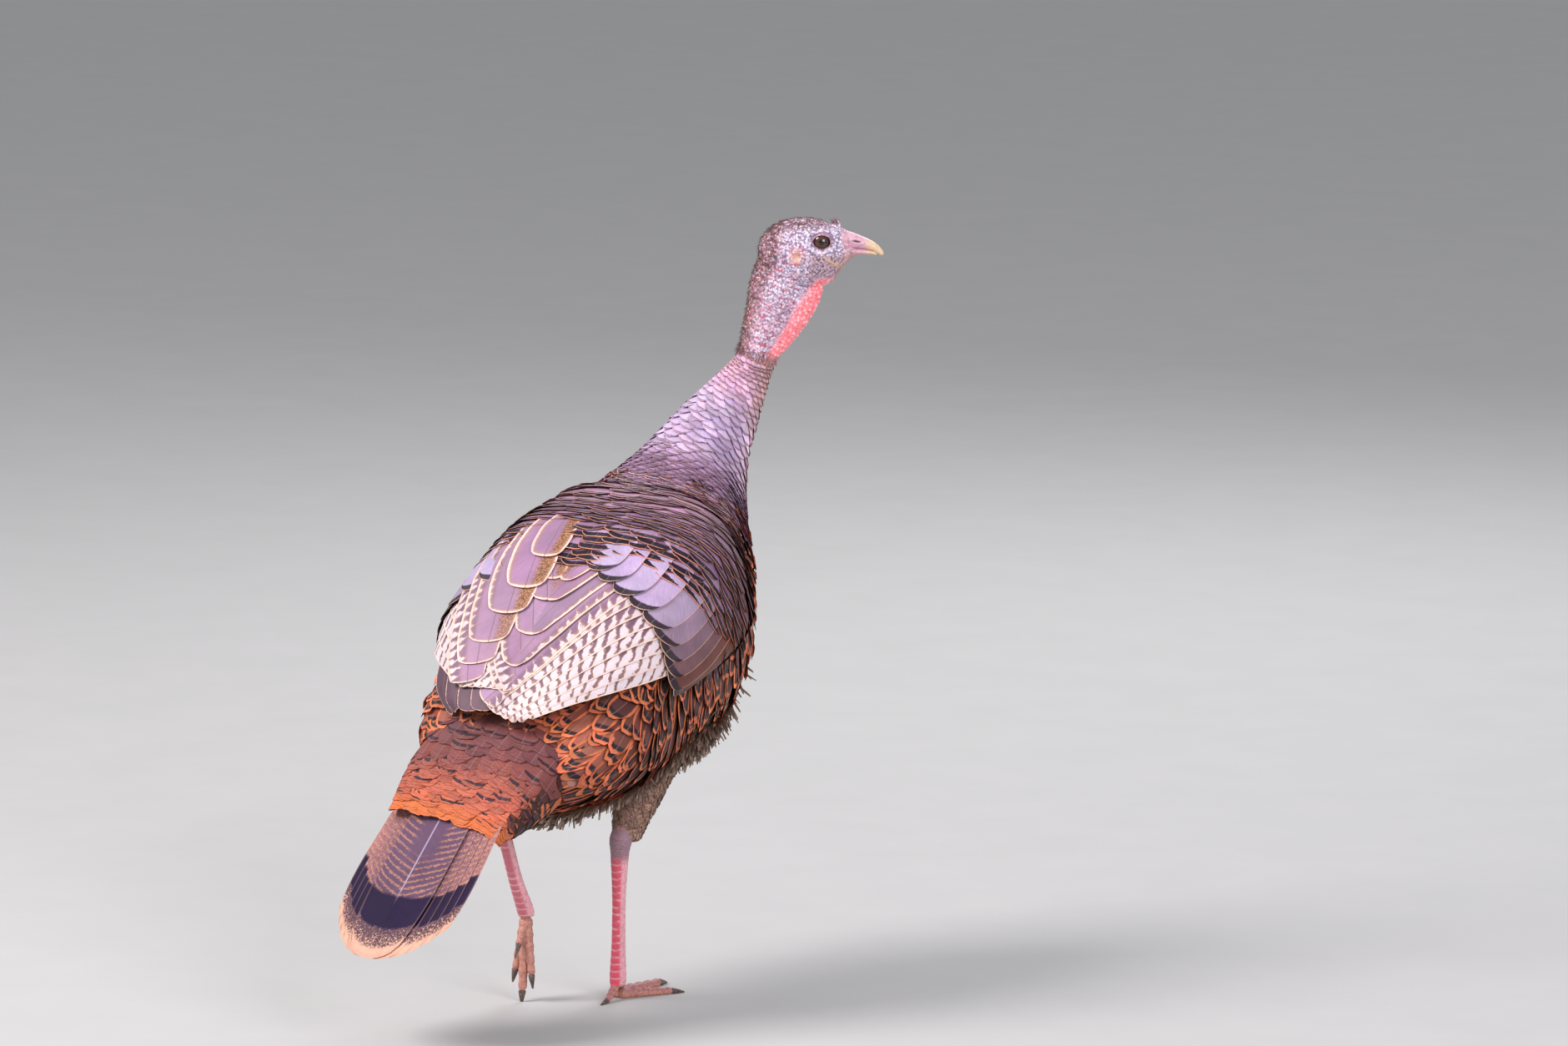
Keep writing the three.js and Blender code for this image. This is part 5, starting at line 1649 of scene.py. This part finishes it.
def covert_roots():
    rng = np.random.default_rng(71)
    t, d = rows_of_roots(covert_outline, 0.30, 0.99, 8.5, 14, 72, covert_keep, 0.18)
    n = len(t)
    top = ease(-0.1, 0.3, np.sin(np.radians(d)))
    ends = 1 - ease(0.47, 0.62, t)
    low = 1 - ease(0.60, 0.98, t)
    base = blended(blended(paint(104, 58, 62), paint(130, 70, 66), rng.random(n)),
                   blended(paint(186, 90, 66), paint(202, 104, 76), rng.random(n)), low)
    base = blended(base, paint(224, 116, 58), ends)
    base = blended(blended(paint(60, 34, 32), paint(206, 112, 62), rng.random(n) < 0.5), base, top)
    barred = (rng.random(n) < 0.52 - 0.18 * low) * (1 - 0.95 * ends)
    return dict(
        t=t, degrees=d, length=62, width=31, aim=rng.normal(0, 4, n), height=0.1, depth=5.0, camber=0.15,
        tilt=0.1, curl=rng.normal(0, 0.1, n), fray=0.018, thick=0.35,
        **paints(n, rng, ground=(base, 0.09, 0.03, 0.0), edge=(base, 0.09, 0.03, 0.17 * barred),
                 band=(paint(50, 26, 38), 0.2, 0.04, 0.3)),
        mark=marks(n, rng, 2.0 + 4 * rng.random(n), bars=0.35, spacing=3.2))


covert_outline = tube_outline(TAIL_COVERTS, 120, 160, (0.06, 0.12))
covert_coat = coat_piece("tail_covert_coat", [grown_feathers(
    covert_outline, covert_roots(), (5, 6), dict(round_tip=0.16), 73)], contour)
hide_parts("tail_coverts")

# ---- Thighs ----
# Short grey-brown feathers, faintly barred, sheathe the thighs down to the hock.
for seed, (word, points) in enumerate(THIGHS.items(), 81):
    rng = np.random.default_rng(seed)
    thigh_outline = tube_outline(limb_stations(points)[::-1], 90, 90, (0.05, 0.1))
    t, d = rows_of_roots(thigh_outline, 0.04, 0.95, 4.6, 6.5, 83, jitter=0.2)
    n = len(t)
    low = 1 - ease(0.1, 0.5, t)
    thigh_roots = dict(
        t=t, degrees=d, length=24 - 9 * low, width=10 - 4 * low, aim=rng.normal(0, 9, n), height=0.2,
        depth=4.0, camber=0.2, tilt=0.15, curl=rng.normal(0.1, 0.3, n), fray=0.16,
        **paints(n, rng, ground=(blended(paint(146, 112, 94), paint(178, 140, 122), low), 0.16, 0.03, 0.0),
                 edge=(paint(158, 126, 108), 0.1, 0.03, 0.0), band=(paint(84, 58, 50), 0.15, 0.03, 0.2)),
        mark=marks(n, rng, 1.5, bars=0.6, spacing=5))
    coat_piece("thigh_coat_" + word, [grown_feathers(
        thigh_outline, thigh_roots, (4, 5), dict(round_tip=0.4), 84)], contour)

# ---- The stand for the picture: floor, light and camera ----
# A pale matt floor under an even grey sky. The main light is broad and soft, above and behind the bird's
# left; a weaker one stands on its right, and a faint one in front of it.
LIGHTS = {  # place and breadth in metres, watts, tint
    "sky_light": ((-2.2, -2.4, 3.4), 2.2, 205, (1, 0.95, 0.96)),
    "side_light": ((3.2, -1.6, 1.8), 2.0, 84, (0.98, 0.94, 1.0)),
    "back_light": ((-0.6, 3.0, 2.4), 1.8, 45, (0.95, 0.97, 1)),
}
LIT_PLACE = (0, 0, 0.4)
CAMERA_TURN, CAMERA_RISE = math.radians(33), math.radians(9)
CAMERA_FAR, CAMERA_LENS = 9.0, 207.6  # metres off, millimetres
AIM_MIDDLE = np.array([0, 0, 400])
AIM_RIGHT, AIM_UP = 189.5, 78  # how far off that the picture's middle lies

bpy.ops.object.select_all(action="DESELECT")
bpy.ops.mesh.primitive_plane_add(size=60, location=(0, 0, 0))
floor = bpy.context.object
floor.name = "floor"
floor_finish = Finish("floor_paint", Roughness=0.9)
grain = floor_finish.noise(9, 4, 0.6)
floor_finish.feed("Base Color", floor_finish.mix(grain, (0.46, 0.46, 0.45), (0.51, 0.50, 0.49)))
floor.data.materials.append(floor_finish.material)


def stood(name, data, place, target):
    """Puts a lamp or the camera at a place, turned towards a target."""
    holder = bpy.data.objects.new(name, data)
    bpy.context.collection.objects.link(holder)
    holder.location = place
    holder.rotation_euler = (Vector(target) - Vector(place)).to_track_quat("-Z", "Y").to_euler()
    return holder


for name, (place, breadth, watts, tint) in LIGHTS.items():
    lamp = bpy.data.lights.new(name, "AREA")
    lamp.shape, lamp.size, lamp.energy, lamp.color = "DISK", breadth, watts, tint
    stood(name, lamp, place, LIT_PLACE)

level = math.cos(CAMERA_RISE)
back_way = np.array([math.sin(CAMERA_TURN) * level, -math.cos(CAMERA_TURN) * level, math.sin(CAMERA_RISE)])
right_way = np.array([math.cos(CAMERA_TURN), math.sin(CAMERA_TURN), 0])
up_way = np.cross(back_way, right_way)
aim_at = (AIM_MIDDLE + BIRD_PLACE + right_way * AIM_RIGHT + up_way * AIM_UP) * MM
camera = bpy.data.cameras.new("camera")
camera.sensor_width, camera.lens, camera.clip_end = 36, CAMERA_LENS, 60
bpy.context.scene.camera = stood("camera", camera, aim_at + back_way * CAMERA_FAR, aim_at)

world = bpy.data.worlds.new("room")
world.use_nodes = True
sky = world.node_tree.nodes["Background"]
sky.inputs["Color"].default_value = (0.88, 0.90, 0.95, 1)
sky.inputs["Strength"].default_value = 0.55
bpy.context.scene.world = world
bpy.context.scene.view_settings.view_transform = "Standard"
